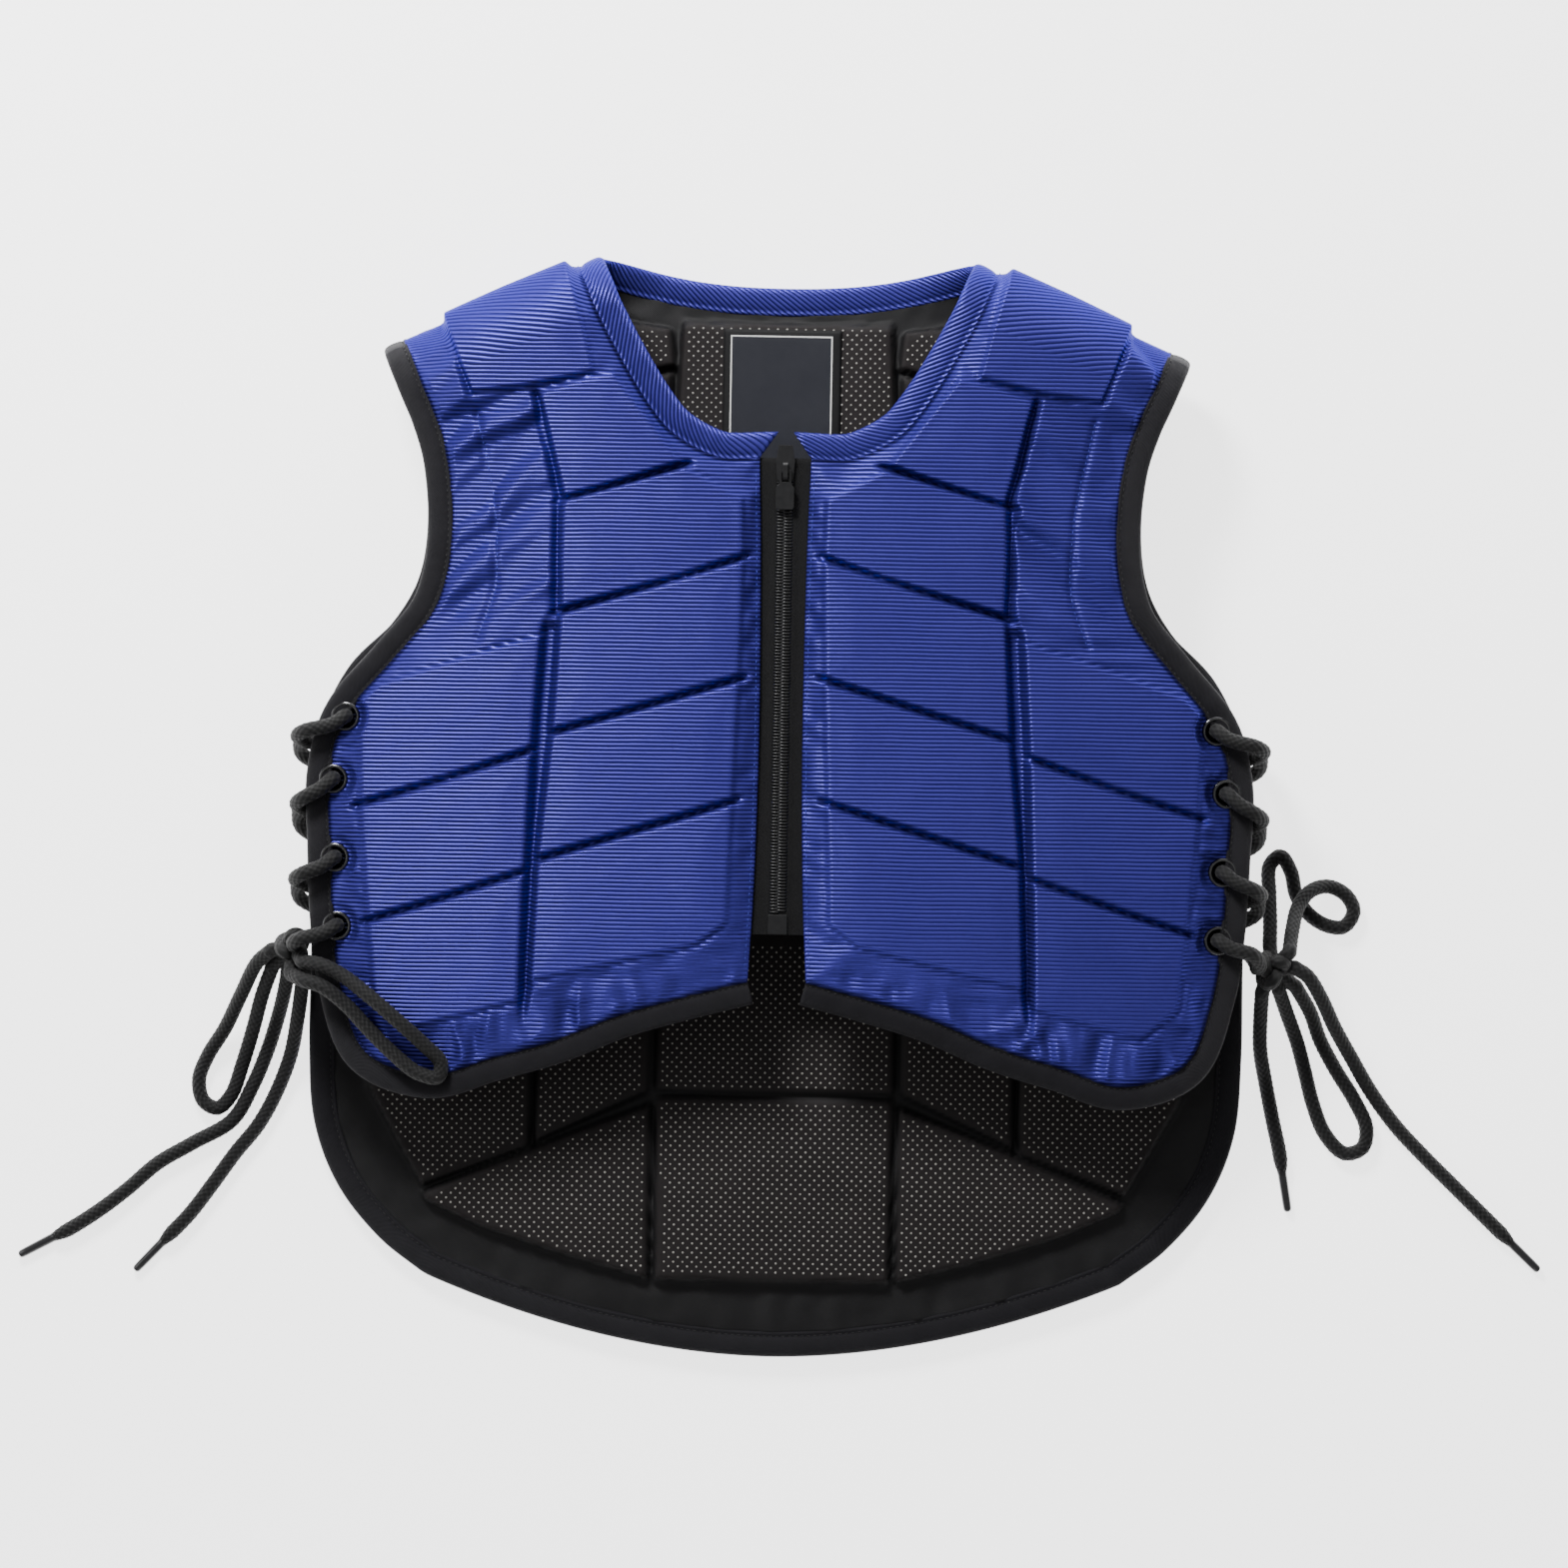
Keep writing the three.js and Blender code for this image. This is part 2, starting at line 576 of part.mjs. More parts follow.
function zipCoil() {
  const ys = range(0, 6).map((i) => THREE.MathUtils.lerp(coilBottomY, sliderBottomY - gap, i / 6));
  return slab(ys.map((y) => [-coilHalf, coilHalf].map((x) => frontSkin(x, y))), coilThickness / 2);
}

// A flat piece cut from a sheet: outline in X and Y, its height along Z from 0 to the thickness
function plate(outline, thickness, window = []) {
  const shape = new THREE.Shape(outline.map(([x, y]) => new THREE.Vector2(x, y)));
  if (window.length) shape.holes.push(new THREE.Path(window.map(([x, y]) => new THREE.Vector2(x, y))));
  const cut = new THREE.ExtrudeGeometry(shape, { depth: thickness, bevelEnabled: false, steps: 1 });
  return welded(cut);
}

function welded(geometry) {
  const { array } = geometry.attributes.position;
  const [points, index, known] = [[], [], new Map()];
  for (let i = 0; i < array.length; i += 3) {
    const key = [array[i], array[i + 1], array[i + 2]].map((value) => value.toFixed(4)).join();
    if (!known.has(key)) {
      known.set(key, points.length);
      points.push(new THREE.Vector3(array[i], array[i + 1], array[i + 2]));
    }
    index.push(known.get(key));
  }
  const order = geometry.index ? Array.from(geometry.index.array, (i) => index[i]) : index;
  const faces = [];
  for (let i = 0; i < order.length; i += 3) {
    const [a, b, c] = order.slice(i, i + 3);
    if (a !== b && b !== c && c !== a) faces.push([a, b, c]);
  }
  return solid(points, faces);
}

function rectangle(x0, y0, x1, y1) {
  return [[x0, y0], [x1, y0], [x1, y1], [x0, y1]];
}

const zipLevel = (y) => frontSkin(coilHalf, y).point.z;

function pinBox() {
  const z = zipLevel(zipBottomY) - pinBoxThickness / 2;
  return plate(rectangle(-coilHalf, zipBottomY, coilHalf, zipBottomY + pinBoxLength), pinBoxThickness)
    .translate(0, 0, z);
}

const sliderY = (sliderTopY + sliderBottomY) / 2;
const sliderFloor = zipLevel(sliderY) - coilThickness / 2 - 0.4;
const sliderFace = sliderFloor + sliderThickness;
const pullPivot = {
  y: sliderBottomY + bridgeLength / 2 + 0.5,
  z: sliderFace + (bridgeHeight - bridgeWall) / 2,
};

function slider() {
  const shoulder = sliderBottomY + sliderLength * 0.55;
  const outline = [[-coilHalf * 0.8, sliderBottomY], [coilHalf * 0.8, sliderBottomY], [coilHalf, shoulder],
    [coilHalf * 0.75, sliderTopY], [-coilHalf * 0.75, sliderTopY], [-coilHalf, shoulder]];
  const body = plate(outline, sliderThickness).translate(0, 0, sliderFloor);
  const sunk = 0.5;
  const half = bridgeLength / 2;
  const arch = [[-half, -sunk], [half, -sunk], [half, bridgeHeight - 1], [half - 1, bridgeHeight],
    [1 - half, bridgeHeight], [-half, bridgeHeight - 1]];
  const opening = rectangle(bridgeWall - half, 0.01, half - bridgeWall, bridgeHeight - bridgeWall);
  const bridge = plate(arch, bridgeWidth, opening).rotateX(Math.PI / 2).rotateZ(Math.PI / 2)
    .translate(-bridgeWidth / 2, pullPivot.y, sliderFace);
  return joined(body, [bridge]);
}

function pull() {
  const eyeHalf = pullWidth / 3;
  const bar = pullThickness / 2;
  const waist = -5.4;
  const half = pullWidth / 2;
  const outline = [[-eyeHalf, bar], [-eyeHalf, waist], [-half, waist - 1.4], [-half, 0.8 - pullLength],
    [0.8 - half, -pullLength], [half - 0.8, -pullLength], [half, 0.8 - pullLength], [half, waist - 1.4],
    [eyeHalf, waist], [eyeHalf, bar]];
  const windowHalf = bridgeWidth / 2 + 0.5;
  return plate(outline, pullThickness, rectangle(-windowHalf, -4.5, windowHalf, -bar))
    .translate(0, 0, -pullThickness / 2);
}

// Label on the lining in the back neck
function neckLabel() {
  const lift = backFoamInside + gap;
  const grid = [labelTopY - labelLength, labelTopY].map((y) => (
    [-labelHalfWidth, labelHalfWidth].map((x) => backSkin(x, y))));
  return slab(grid, -lift, lift + labelThickness);
}

// Round cord along a smooth curve through its points
function cord(points, sides, spacing, diameter = laceDiameter) {
  const curve = new THREE.CatmullRomCurve3(points, false, 'centripetal');
  const circle = Array.from({ length: sides }, (_, i) => {
    const angle = (2 * Math.PI * (i + 0.5)) / sides;
    return new THREE.Vector2(Math.cos(angle), Math.sin(angle)).multiplyScalar(diameter / 2);
  });
  const steps = Math.max(2, Math.round(curve.getLength() / spacing));
  const options = { steps, extrudePath: curve, bevelEnabled: false };
  return welded(new THREE.ExtrudeGeometry(new THREE.Shape(circle), options));
}

// Side lacing, drawn for the right side. A pass leaves one eyelet, goes round that flap's edge and
// under the other flap to its next eyelet. Columns: from 0 at the first eyelet to 1 at the next along
// Y, the edge or eyelet that x is measured from, and the height above or below a flap.
const frontRim = halfWidth + gap + bindingWidth;
const backRim = halfWidth + gap + bindingWidth;
const eyeletPass = eyeletHeight / 2 + 2.6;

function overFrontToBack(from, to) {
  const y = (share) => THREE.MathUtils.lerp(from.y, to.y, share);
  return [
    new THREE.Vector3(from.x + 0.3, y(0), from.z + eyeletPass - 0.6),
    new THREE.Vector3(from.x + 5, y(0.13), from.z + eyeletPass + 1.3),
    new THREE.Vector3(frontRim + 1, y(0.24), from.z + eyeletPass + 0.7),
    new THREE.Vector3(frontRim + 4.7, y(0.33), from.z - 0.6),
    new THREE.Vector3(frontRim, y(0.42), from.z - 8.6),
    new THREE.Vector3(frontRim - 7.5, y(0.54), from.z - 13.2),
    new THREE.Vector3(to.x + 1.6, y(0.88), to.z + 10),
    new THREE.Vector3(to.x, y(1), to.z + 3),
    new THREE.Vector3(to.x, y(1), to.z),
  ];
}

function roundBackToFront(from, to) {
  const y = (share) => THREE.MathUtils.lerp(from.y, to.y, share);
  const rimZ = backFlat(backRim, from.y);
  return [
    new THREE.Vector3(from.x + 0.3, y(0), from.z - eyeletPass + 0.8),
    new THREE.Vector3(from.x + 5.5, y(0.12), from.z - eyeletPass - 1),
    new THREE.Vector3(backRim + 1.4, y(0.24), rimZ - eyeletPass - 1.6),
    new THREE.Vector3(backRim + 4.6, y(0.33), rimZ + 0.4),
    new THREE.Vector3(backRim + 5, y(0.46), rimZ + 6.4),
    new THREE.Vector3(backRim + 3.4, y(0.62), to.z - 12.6),
    new THREE.Vector3(to.x + 3.4, y(0.85), to.z - 8),
    new THREE.Vector3(to.x, y(1), to.z - 3),
    new THREE.Vector3(to.x, y(1), to.z),
  ];
}

// A knot's place is where the two lace ends meet beside the last eyelets
function lacing(knot) {
  const front = frontEyelets.map(({ point }) => point);
  const back = backEyelets.map(({ point }) => point);
  const lastBackZ = backFlat(backRim, back[3].y);
  const endX = Math.min(knot.x, backRim + 4.8);
  const aside = Math.max(0, knot.x - endX - laceDiameter / 3);
  const endZ = knotRadii.z * Math.sqrt(1 - (aside / knotRadii.x) ** 2) + gap;
  const toBackEnd = [
    front[0], ...overFrontToBack(front[0], back[1]), ...roundBackToFront(back[1], front[2]),
    ...overFrontToBack(front[2], back[3]),
    new THREE.Vector3(back[3].x + 0.3, back[3].y, back[3].z - eyeletPass + 0.8),
    new THREE.Vector3(back[3].x + 5.5, back[3].y - 3, back[3].z - eyeletPass - 1),
    new THREE.Vector3(backRim + 1.6, back[3].y - 6, lastBackZ - eyeletPass - 1.4),
    new THREE.Vector3(endX, knot.y + 1.5, knot.z - endZ - 4),
    new THREE.Vector3(endX, knot.y, knot.z - endZ - 0.3),
  ];
  const toFrontEnd = [
    back[0], ...roundBackToFront(back[0], front[1]), ...overFrontToBack(front[1], back[2]),
    ...roundBackToFront(back[2], front[3]),
    new THREE.Vector3(front[3].x + 0.3, front[3].y, front[3].z + eyeletPass - 0.6),
    new THREE.Vector3(front[3].x + 5, front[3].y - 3, front[3].z + eyeletPass + 1.3),
    new THREE.Vector3(frontRim + 1.2, front[3].y - 5.5, front[3].z + eyeletPass + 0.6),
    new THREE.Vector3(endX, knot.y + 2, knot.z + endZ + 3.6),
    new THREE.Vector3(endX, knot.y + 0.5, knot.z + endZ + 0.5),
  ];
  return [...toBackEnd.reverse(), ...toFrontEnd];
}

// Each knot lies outside the front binding, below the last eyelet
const lastEyelet = frontEyelets[3].point;
const leftKnot = new THREE.Vector3(-frontRim - 5.7, lastEyelet.y - 9.5, 32);
const rightKnot = new THREE.Vector3(frontRim + 10.7, lastEyelet.y - 12, 30);

// Free laces: each route is [x, y, z], chosen point by point with the knots at these places
const chosenKnots = { left: new THREE.Vector3(-203.5, -61, 32), right: new THREE.Vector3(208.5, -63.5, 30) };
const freeLaces = {
  loop_left_outer: [[-212.6, -62.5, 32], [-219, -68, 27], [-226.5, -82, 17], [-234, -97, 8],
    [-241.5, -109, 3.6], [-245, -119, 3.4], [-243, -128, 3.4], [-237, -131, 3.4], [-231.3, -125.5, 3.4],
    [-226.5, -112, 4.6], [-221.5, -96, 11], [-217.5, -82, 18], [-212.6, -69.3, 25.5]],
  loop_left_inner: [[-198.6, -67, 43], [-191, -67.8, 47.4], [-181.5, -72.2, 48.8], [-170, -80.5, 51.6],
    [-158, -90.5, 52], [-147, -100.5, 48.6], [-140, -108, 46.2], [-141, -114, 46],
    [-149.5, -112.5, 45.9], [-159.5, -105, 45.9], [-170, -95, 45.9], [-180, -84.5, 46.4],
    [-190, -77, 47.4], [-198, -74.6, 45.2], [-204, -72.2, 37.6]],
  tail_left_long: [[-206, -70.6, 26.5], [-208, -80, 18.5], [-211.5, -92, 9], [-216, -106, 4],
    [-222, -121, 3.4], [-230.5, -136, 3.4], [-247, -146, 3.4], [-262, -155, 3.4], [-274.5, -166, 3.4],
    [-286, -175, 3.4], [-298, -183, 3.4], [-305, -186.8, 3.4]],
  tail_left_short: [[-199.2, -70.3, 28.5], [-200.5, -79, 23], [-202.5, -91.5, 16], [-206, -108, 7],
    [-212.5, -125, 3.5], [-219.5, -138, 3.4], [-229, -150, 3.4], [-238.5, -163.5, 3.4],
    [-248, -176.3, 3.4], [-259, -188, 3.4]],
  loop_right_upper: [[215.3, -56.2, 34.2], [217.5, -46, 24], [220.5, -37, 15], [226, -30.5, 10.2],
    [234.5, -28.6, 5], [242, -32.5, 3.4], [245, -39, 3.4], [241, -45.5, 3.4], [234, -45.3, 3.4],
    [226, -40.5, 3.4], [220.5, -32.5, 3.4], [218, -22.5, 3.4], [213.5, -16, 3.6], [209, -20, 4],
    [208.5, -32, 10], [208.5, -44, 17], [208, -53.3, 23]],
  loop_right_lower: [[211.5, -71.2, 26.2], [216.5, -83, 16], [221.5, -95, 8.5], [225.5, -108, 3.8],
    [229, -121, 3.4], [234.5, -134, 3.4], [243, -142, 3.4], [250.5, -139.5, 3.4], [252, -131, 3.4],
    [246.5, -119, 3.4], [238.5, -106.5, 3.8], [231.5, -94, 6], [226.5, -82, 13], [219.3, -70.8, 22.5]],
  tail_right_short: [[204.7, -72.9, 28.3], [204.8, -84, 20.5], [205.5, -98, 13], [208.5, -112, 6],
    [212, -128, 3.4], [215, -141, 3.4], [216.5, -150, 3.4]],
  tail_right_long: [[217.8, -62.5, 31], [223.5, -66, 30], [230, -75.5, 24.5], [236.5, -88, 17.5],
    [244.5, -101, 10], [253.5, -115.5, 5], [264.5, -130, 3.4], [277, -143, 3.4], [290, -155.5, 3.4],
    [303, -168, 3.4], [314, -178.5, 3.4]],
};

// A free lace's route, moved with its knot
function routeFromKnot(name, points) {
  const moved = name.includes('left') ? leftKnot.clone().sub(chosenKnots.left)
    : rightKnot.clone().sub(chosenKnots.right);
  return points.map(([x, y, z]) => new THREE.Vector3(x, y, z).add(moved));
}

// The tip goes on in the direction in which its lace ends
function aglet(route) {
  const [before, end] = route.slice(-2);
  const along = end.clone().sub(before).setZ(0).normalize();
  const start = end.clone().addScaledVector(along, gap).setZ(agletDiameter / 2 + 0.1);
  return cord([start, start.clone().addScaledVector(along, agletLength)], cordSides, agletLength,
    agletDiameter);
}

function knotSolid(place) {
  const ball = new THREE.SphereGeometry(1, cordSides, knotRows);
  return welded(ball.scale(knotRadii.x, knotRadii.y, knotRadii.z).translate(place.x, place.y, place.z));
}

// Named pieces

const part = new THREE.Group();

function add(name, geometry, color, roughness, metalness = 0) {
  const material = new THREE.MeshStandardMaterial({ color, roughness, metalness });
  const mesh = new THREE.Mesh(geometry, material);
  mesh.name = name;
  part.add(mesh);
  return mesh;
}

add('back_panel', backPanel, cloth.lining, 0.9);
add('front_panel_right', frontPanel, cloth.blue, 0.45);
add('front_panel_left', mirrored(frontPanel), cloth.blue, 0.45);
add('back_binding', backBinding, cloth.black, 0.6);
add('front_binding_right', frontBinding, cloth.black, 0.6);
add('front_binding_left', mirrored(frontBinding), cloth.black, 0.6);
add('neck_band', neckBand, cloth.blue, 0.45);
add('neck_label', neckLabel(), cloth.label, 0.7);
const tape = zipTape();
add('zip_tape_right', tape, cloth.black, 0.8);
add('zip_tape_left', mirrored(tape), cloth.black, 0.8);
add('zip_coil', zipCoil(), cloth.black, 0.5);
add('zip_pin_box', pinBox(), metal.black, 0.4, 0.6);
add('zip_slider', slider(), metal.black, 0.4, 0.6);
add('zip_pull', pull(), metal.black, 0.4, 0.6).position.set(0, pullPivot.y, pullPivot.z);

for (const [flap, places] of [['front', frontEyelets], ['back', backEyelets]]) {
  places.forEach((place, i) => {
    const ring = welded(turnedTo(place, rectangleRing(eyeletHole, eyeletOuter, eyeletHeight, eyeletSides)));
    add(`eyelet_${flap}_right_${i + 1}`, ring, metal.nickel, 0.3, 0.9);
    add(`eyelet_${flap}_left_${i + 1}`, mirrored(ring), metal.nickel, 0.3, 0.9);
  });
}

const leftKnotMirrored = leftKnot.clone().multiply(new THREE.Vector3(-1, 1, 1));
add('lace_right', cord(lacing(rightKnot), laceSides, laceStep), cloth.black, 0.85);
add('lace_left', mirrored(cord(lacing(leftKnotMirrored), laceSides, laceStep)), cloth.black, 0.85);
add('knot_right', knotSolid(rightKnot), cloth.black, 0.85);
add('knot_left', knotSolid(leftKnot), cloth.black, 0.85);
for (const [name, points] of Object.entries(freeLaces)) {
  const route = routeFromKnot(name, points);
  add(name, cord(route, cordSides, cordStep), cloth.black, 0.85);
  if (name.startsWith('tail')) add(name.replace('tail', 'aglet'), aglet(route), metal.black, 0.3);
}

export default part;
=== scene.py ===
import math

import bmesh
import bpy
import numpy as np
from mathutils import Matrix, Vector


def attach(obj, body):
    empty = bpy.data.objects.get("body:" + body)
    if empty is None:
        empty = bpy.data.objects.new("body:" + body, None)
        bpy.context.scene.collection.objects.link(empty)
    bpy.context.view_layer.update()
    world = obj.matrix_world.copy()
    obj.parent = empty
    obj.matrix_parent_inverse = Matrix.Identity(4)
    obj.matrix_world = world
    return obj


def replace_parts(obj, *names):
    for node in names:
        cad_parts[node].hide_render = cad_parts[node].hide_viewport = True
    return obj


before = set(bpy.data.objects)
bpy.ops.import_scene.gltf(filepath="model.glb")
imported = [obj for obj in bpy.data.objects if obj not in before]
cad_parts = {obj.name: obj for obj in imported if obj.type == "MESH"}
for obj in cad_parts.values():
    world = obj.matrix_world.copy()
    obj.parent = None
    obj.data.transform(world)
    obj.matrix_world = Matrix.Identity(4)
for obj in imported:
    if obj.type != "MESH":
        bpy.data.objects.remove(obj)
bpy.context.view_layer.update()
scene = bpy.context.scene

# Camera
# It looks straight down on the vest from well above, turned by one degree, and takes in the whole of
# the vest with its loose laces.
VIEW_POINT = (0.0017, 0.0110, 0.035)
VIEW_DISTANCE = 2.5
VIEW_WIDTH = 0.659
VIEW_TURN = math.radians(1)
camera_data = bpy.data.cameras.new("camera")
camera_data.sensor_width = 36
camera_data.lens = camera_data.sensor_width * VIEW_DISTANCE / VIEW_WIDTH
camera = bpy.data.objects.new("camera", camera_data)
camera.location = (VIEW_POINT[0], VIEW_POINT[1], VIEW_POINT[2] + VIEW_DISTANCE)
camera.rotation_euler = (0, 0, VIEW_TURN)
scene.collection.objects.link(camera)
scene.camera = camera

# Free lace ends
# Each bow has two loops and two ends of round black braid, limp, each end in a hard glossy tip. They
# hang from the knot over the vest's edge and then lie on the surface. Routes are in millimetres.
MM = 0.001
LACE_RADIUS = 3.1 * MM
LACE_SIDES = 32
LACE_STEP = 0.7 * MM
BRAID_ROUND = 8
BRAID_PITCH = 2.8 * MM
BRAID_RELIEF = 0.16 * MM
AGLET_RADIUS = 1.9 * MM
AGLET_LENGTH = 17.6 * MM
AGLET_OVERLAP = 0.5 * MM
TAPER_LENGTH = 6 * MM
TAPER_SHARE = 0.34
KNOT_STRAND = 2.9 * MM
KNOT_HALF_SIZE = (7.6, 8.9, 8.3)
KNOT_TURNS = {"left": 0.5, "right": -0.4}
KNOT_SIDES = 20
# Places of a lead's points between the knot's middle and the loop or end that comes out of it
LEAD_SHARES = (0.15, 0.55, 0.85, 1.0)
LEAD_OVERLAP = 2.2 * MM
FREE_LACES = {
    "loop_left_outer": [
        (-212.6, -62.5, 32), (-219, -68, 27), (-226.5, -82, 17), (-234, -97, 8), (-241.5, -109, 3.6),
        (-245, -119, 3.4), (-243, -128, 3.4), (-237, -131, 3.4), (-231.3, -125.5, 3.4),
        (-226.5, -112, 4.6), (-221.5, -96, 11), (-217.5, -82, 18), (-212.6, -69.3, 25.5)],
    "loop_left_inner": [
        (-198.6, -67, 43), (-191, -67.8, 47.4), (-181.5, -72.2, 48.8), (-170, -80.5, 51.6),
        (-158, -90.5, 52), (-147, -100.5, 48.6), (-140, -108, 46.2), (-141, -114, 46),
        (-149.5, -112.5, 45.9), (-159.5, -105, 45.9), (-170, -95, 45.9), (-180, -84.5, 46.4),
        (-190, -77, 47.4), (-198, -74.6, 45.2), (-204, -72.2, 37.6)],
    "tail_left_long": [
        (-206, -70.6, 26.5), (-208, -80, 18.5), (-211.5, -92, 9), (-216, -106, 4), (-222, -121, 3.4),
        (-230.5, -136, 3.4), (-247, -146, 3.4), (-262, -155, 3.4), (-274.5, -166, 3.4),
        (-286, -175, 3.4), (-298, -183, 3.4), (-305, -186.8, 3.4)],
    "tail_left_short": [
        (-199.2, -70.3, 28.5), (-200.5, -79, 23), (-202.5, -91.5, 16), (-206, -108, 7),
        (-212.5, -125, 3.5), (-219.5, -138, 3.4), (-229, -150, 3.4), (-238.5, -163.5, 3.4),
        (-248, -176.3, 3.4), (-259, -188, 3.4)],
    "loop_right_upper": [
        (215.3, -56.2, 34.2), (217.5, -46, 24), (220.5, -37, 15), (226, -30.5, 10.2),
        (234.5, -28.6, 5), (242, -32.5, 3.4), (245, -39, 3.4), (241, -45.5, 3.4), (234, -45.3, 3.4),
        (226, -40.5, 3.4), (220.5, -32.5, 3.4), (218, -22.5, 3.4), (213.5, -16, 3.6), (209, -20, 4),
        (208.5, -32, 10), (208.5, -44, 17), (208, -53.3, 23)],
    "loop_right_lower": [
        (211.5, -71.2, 26.2), (216.5, -83, 16), (221.5, -95, 8.5), (225.5, -108, 3.8),
        (229, -121, 3.4), (234.5, -134, 3.4), (243, -142, 3.4), (250.5, -139.5, 3.4),
        (252, -131, 3.4), (246.5, -119, 3.4), (238.5, -106.5, 3.8), (231.5, -94, 6),
        (226.5, -82, 13), (219.3, -70.8, 22.5)],
    "tail_right_short": [
        (204.7, -72.9, 28.3), (204.8, -84, 20.5), (205.5, -98, 13), (208.5, -112, 6),
        (212, -128, 3.4), (215, -141, 3.4), (216.5, -150, 3.4)],
    "tail_right_long": [
        (217.8, -62.5, 31), (223.5, -66, 30), (230, -75.5, 24.5), (236.5, -88, 17.5),
        (244.5, -101, 10), (253.5, -115.5, 5), (264.5, -130, 3.4), (277, -143, 3.4),
        (290, -155.5, 3.4), (303, -168, 3.4), (314, -178.5, 3.4)],
}
KNOTS = {"left": Vector((-203.5, -61, 32)) * MM, "right": Vector((208.5, -63.5, 30)) * MM}


def new_material(name, settings):
    """A material, its tree and its shader, with these sockets of the shader set."""
    material = bpy.data.materials.new(name)
    material.use_nodes = True
    tree = material.node_tree
    shader = tree.nodes["Principled BSDF"]
    for socket, value in settings.items():
        shader.inputs[socket].default_value = value
    return material, tree, shader


def add_node(tree, kind, **settings):
    node = tree.nodes.new(kind)
    for key, value in settings.items():
        setattr(node, key, value)
    return node


def feed(tree, socket, value):
    """Links a node's output to a socket, or sets the socket to a plain value."""
    if isinstance(value, bpy.types.NodeSocket):
        tree.links.new(value, socket)
    else:
        socket.default_value = value


def math_node(tree, operation, *values):
    node = add_node(tree, "ShaderNodeMath", operation=operation)
    for socket, value in zip(node.inputs, values):
        feed(tree, socket, value)
    return node.outputs[0]


def mixed_colour(tree, share, low, high):
    node = add_node(tree, "ShaderNodeMix", data_type="RGBA")
    feed(tree, node.inputs[0], share)
    for socket, value in ((node.inputs[6], low), (node.inputs[7], high)):
        feed(tree, socket, (*value, 1) if isinstance(value, tuple) else value)
    return node.outputs[2]


def plane_axes(tree, vector):
    """A vector's first two parts."""
    split = add_node(tree, "ShaderNodeSeparateXYZ")
    tree.links.new(vector, split.inputs[0])
    return split.outputs[0], split.outputs[1]


def uv_axes(tree):
    return plane_axes(tree, add_node(tree, "ShaderNodeUVMap", uv_map="UVMap").outputs[0])


def object_place(tree):
    return add_node(tree, "ShaderNodeTexCoord").outputs["Object"]


def noise_at(tree, vector, scale, detail=2.0):
    node = add_node(tree, "ShaderNodeTexNoise")
    node.inputs["Scale"].default_value = scale
    node.inputs["Detail"].default_value = detail
    tree.links.new(vector, node.inputs["Vector"])
    return node.outputs[0]


def add_bump(tree, shader, height, distance):
    bump = add_node(tree, "ShaderNodeBump")
    bump.inputs["Strength"].default_value = 1.0
    bump.inputs["Distance"].default_value = distance
    tree.links.new(height, bump.inputs["Height"])
    tree.links.new(bump.outputs[0], shader.inputs["Normal"])


def braid_cloth():
    """Black braid: a lattice of crossing strands with fine threads on them, coloured with painted shade in
    the strands' dips and painted highlight on their crests.
    """
    material, tree, shader = new_material("black_braid", {
        "Roughness": 0.7, "Specular IOR Level": 0.3, "Sheen Weight": 0.06, "Sheen Roughness": 0.5})
    around, along = uv_axes(tree)
    turn = math_node(tree, "MULTIPLY", around, 2 * math.pi * BRAID_ROUND)
    run = math_node(tree, "MULTIPLY", along, 2 * math.pi / BRAID_PITCH)
    lattice = math_node(tree, "MULTIPLY", math_node(tree, "COSINE", turn), math_node(tree, "COSINE", run))
    threads = math_node(tree, "SINE", math_node(tree, "MULTIPLY", math_node(tree, "ADD", turn, run), 4.0))
    height = math_node(tree, "ADD", lattice, math_node(tree, "MULTIPLY", threads, 0.25))
    # Painted shade and highlight: the colour follows the lattice's relief, dark in its dips and light on its
    # crests.
    share = math_node(tree, "MULTIPLY_ADD", lattice, 0.5, 0.5)
    colour = mixed_colour(tree, share, (0.0012, 0.0012, 0.0014), (0.0105, 0.0105, 0.011))
    tree.links.new(colour, shader.inputs["Base Color"])
    add_bump(tree, shader, height, 0.12 * MM)
    return material


def run_along(points):
    """Each point's distance from the first one, along the line."""
    return np.concatenate([[0], np.cumsum(np.linalg.norm(np.diff(points, axis=0), axis=1))])


def centripetal(points, step):
    """Even steps along the smooth curve that the solids' cords follow."""
    points = np.asarray(points, float)
    ends = np.concatenate([[2 * points[0] - points[1]], points, [2 * points[-1] - points[-2]]])
    dense = []
    for i in range(len(points) - 1):
        p0, p1, p2, p3 = ends[i:i + 4]
        t0, t1, t2 = (max(np.linalg.norm(b - a) ** 0.5, 1e-6) for a, b in ((p0, p1), (p1, p2), (p2, p3)))
        out = ((p1 - p0) / t0 - (p2 - p0) / (t0 + t1) + (p2 - p1) / t1) * t1
        into = ((p2 - p1) / t1 - (p3 - p1) / (t1 + t2) + (p3 - p2) / t2) * t1
        u = np.linspace(0, 1, 40, endpoint=False)[:, None]
        dense.append(p1 + out * u + (3 * (p2 - p1) - 2 * out - into) * u ** 2
                     + (2 * (p1 - p2) + out + into) * u ** 3)
    dense = np.concatenate([*dense, points[-1:]])
    run = run_along(dense)
    even = np.linspace(0, run[-1], max(3, int(round(run[-1] / step)) + 1))
    return np.stack([np.interp(even, run, dense[:, k]) for k in range(3)], 1), run[-1]


def unit(vectors):
    return vectors / np.maximum(np.linalg.norm(vectors, axis=-1, keepdims=True), 1e-12)


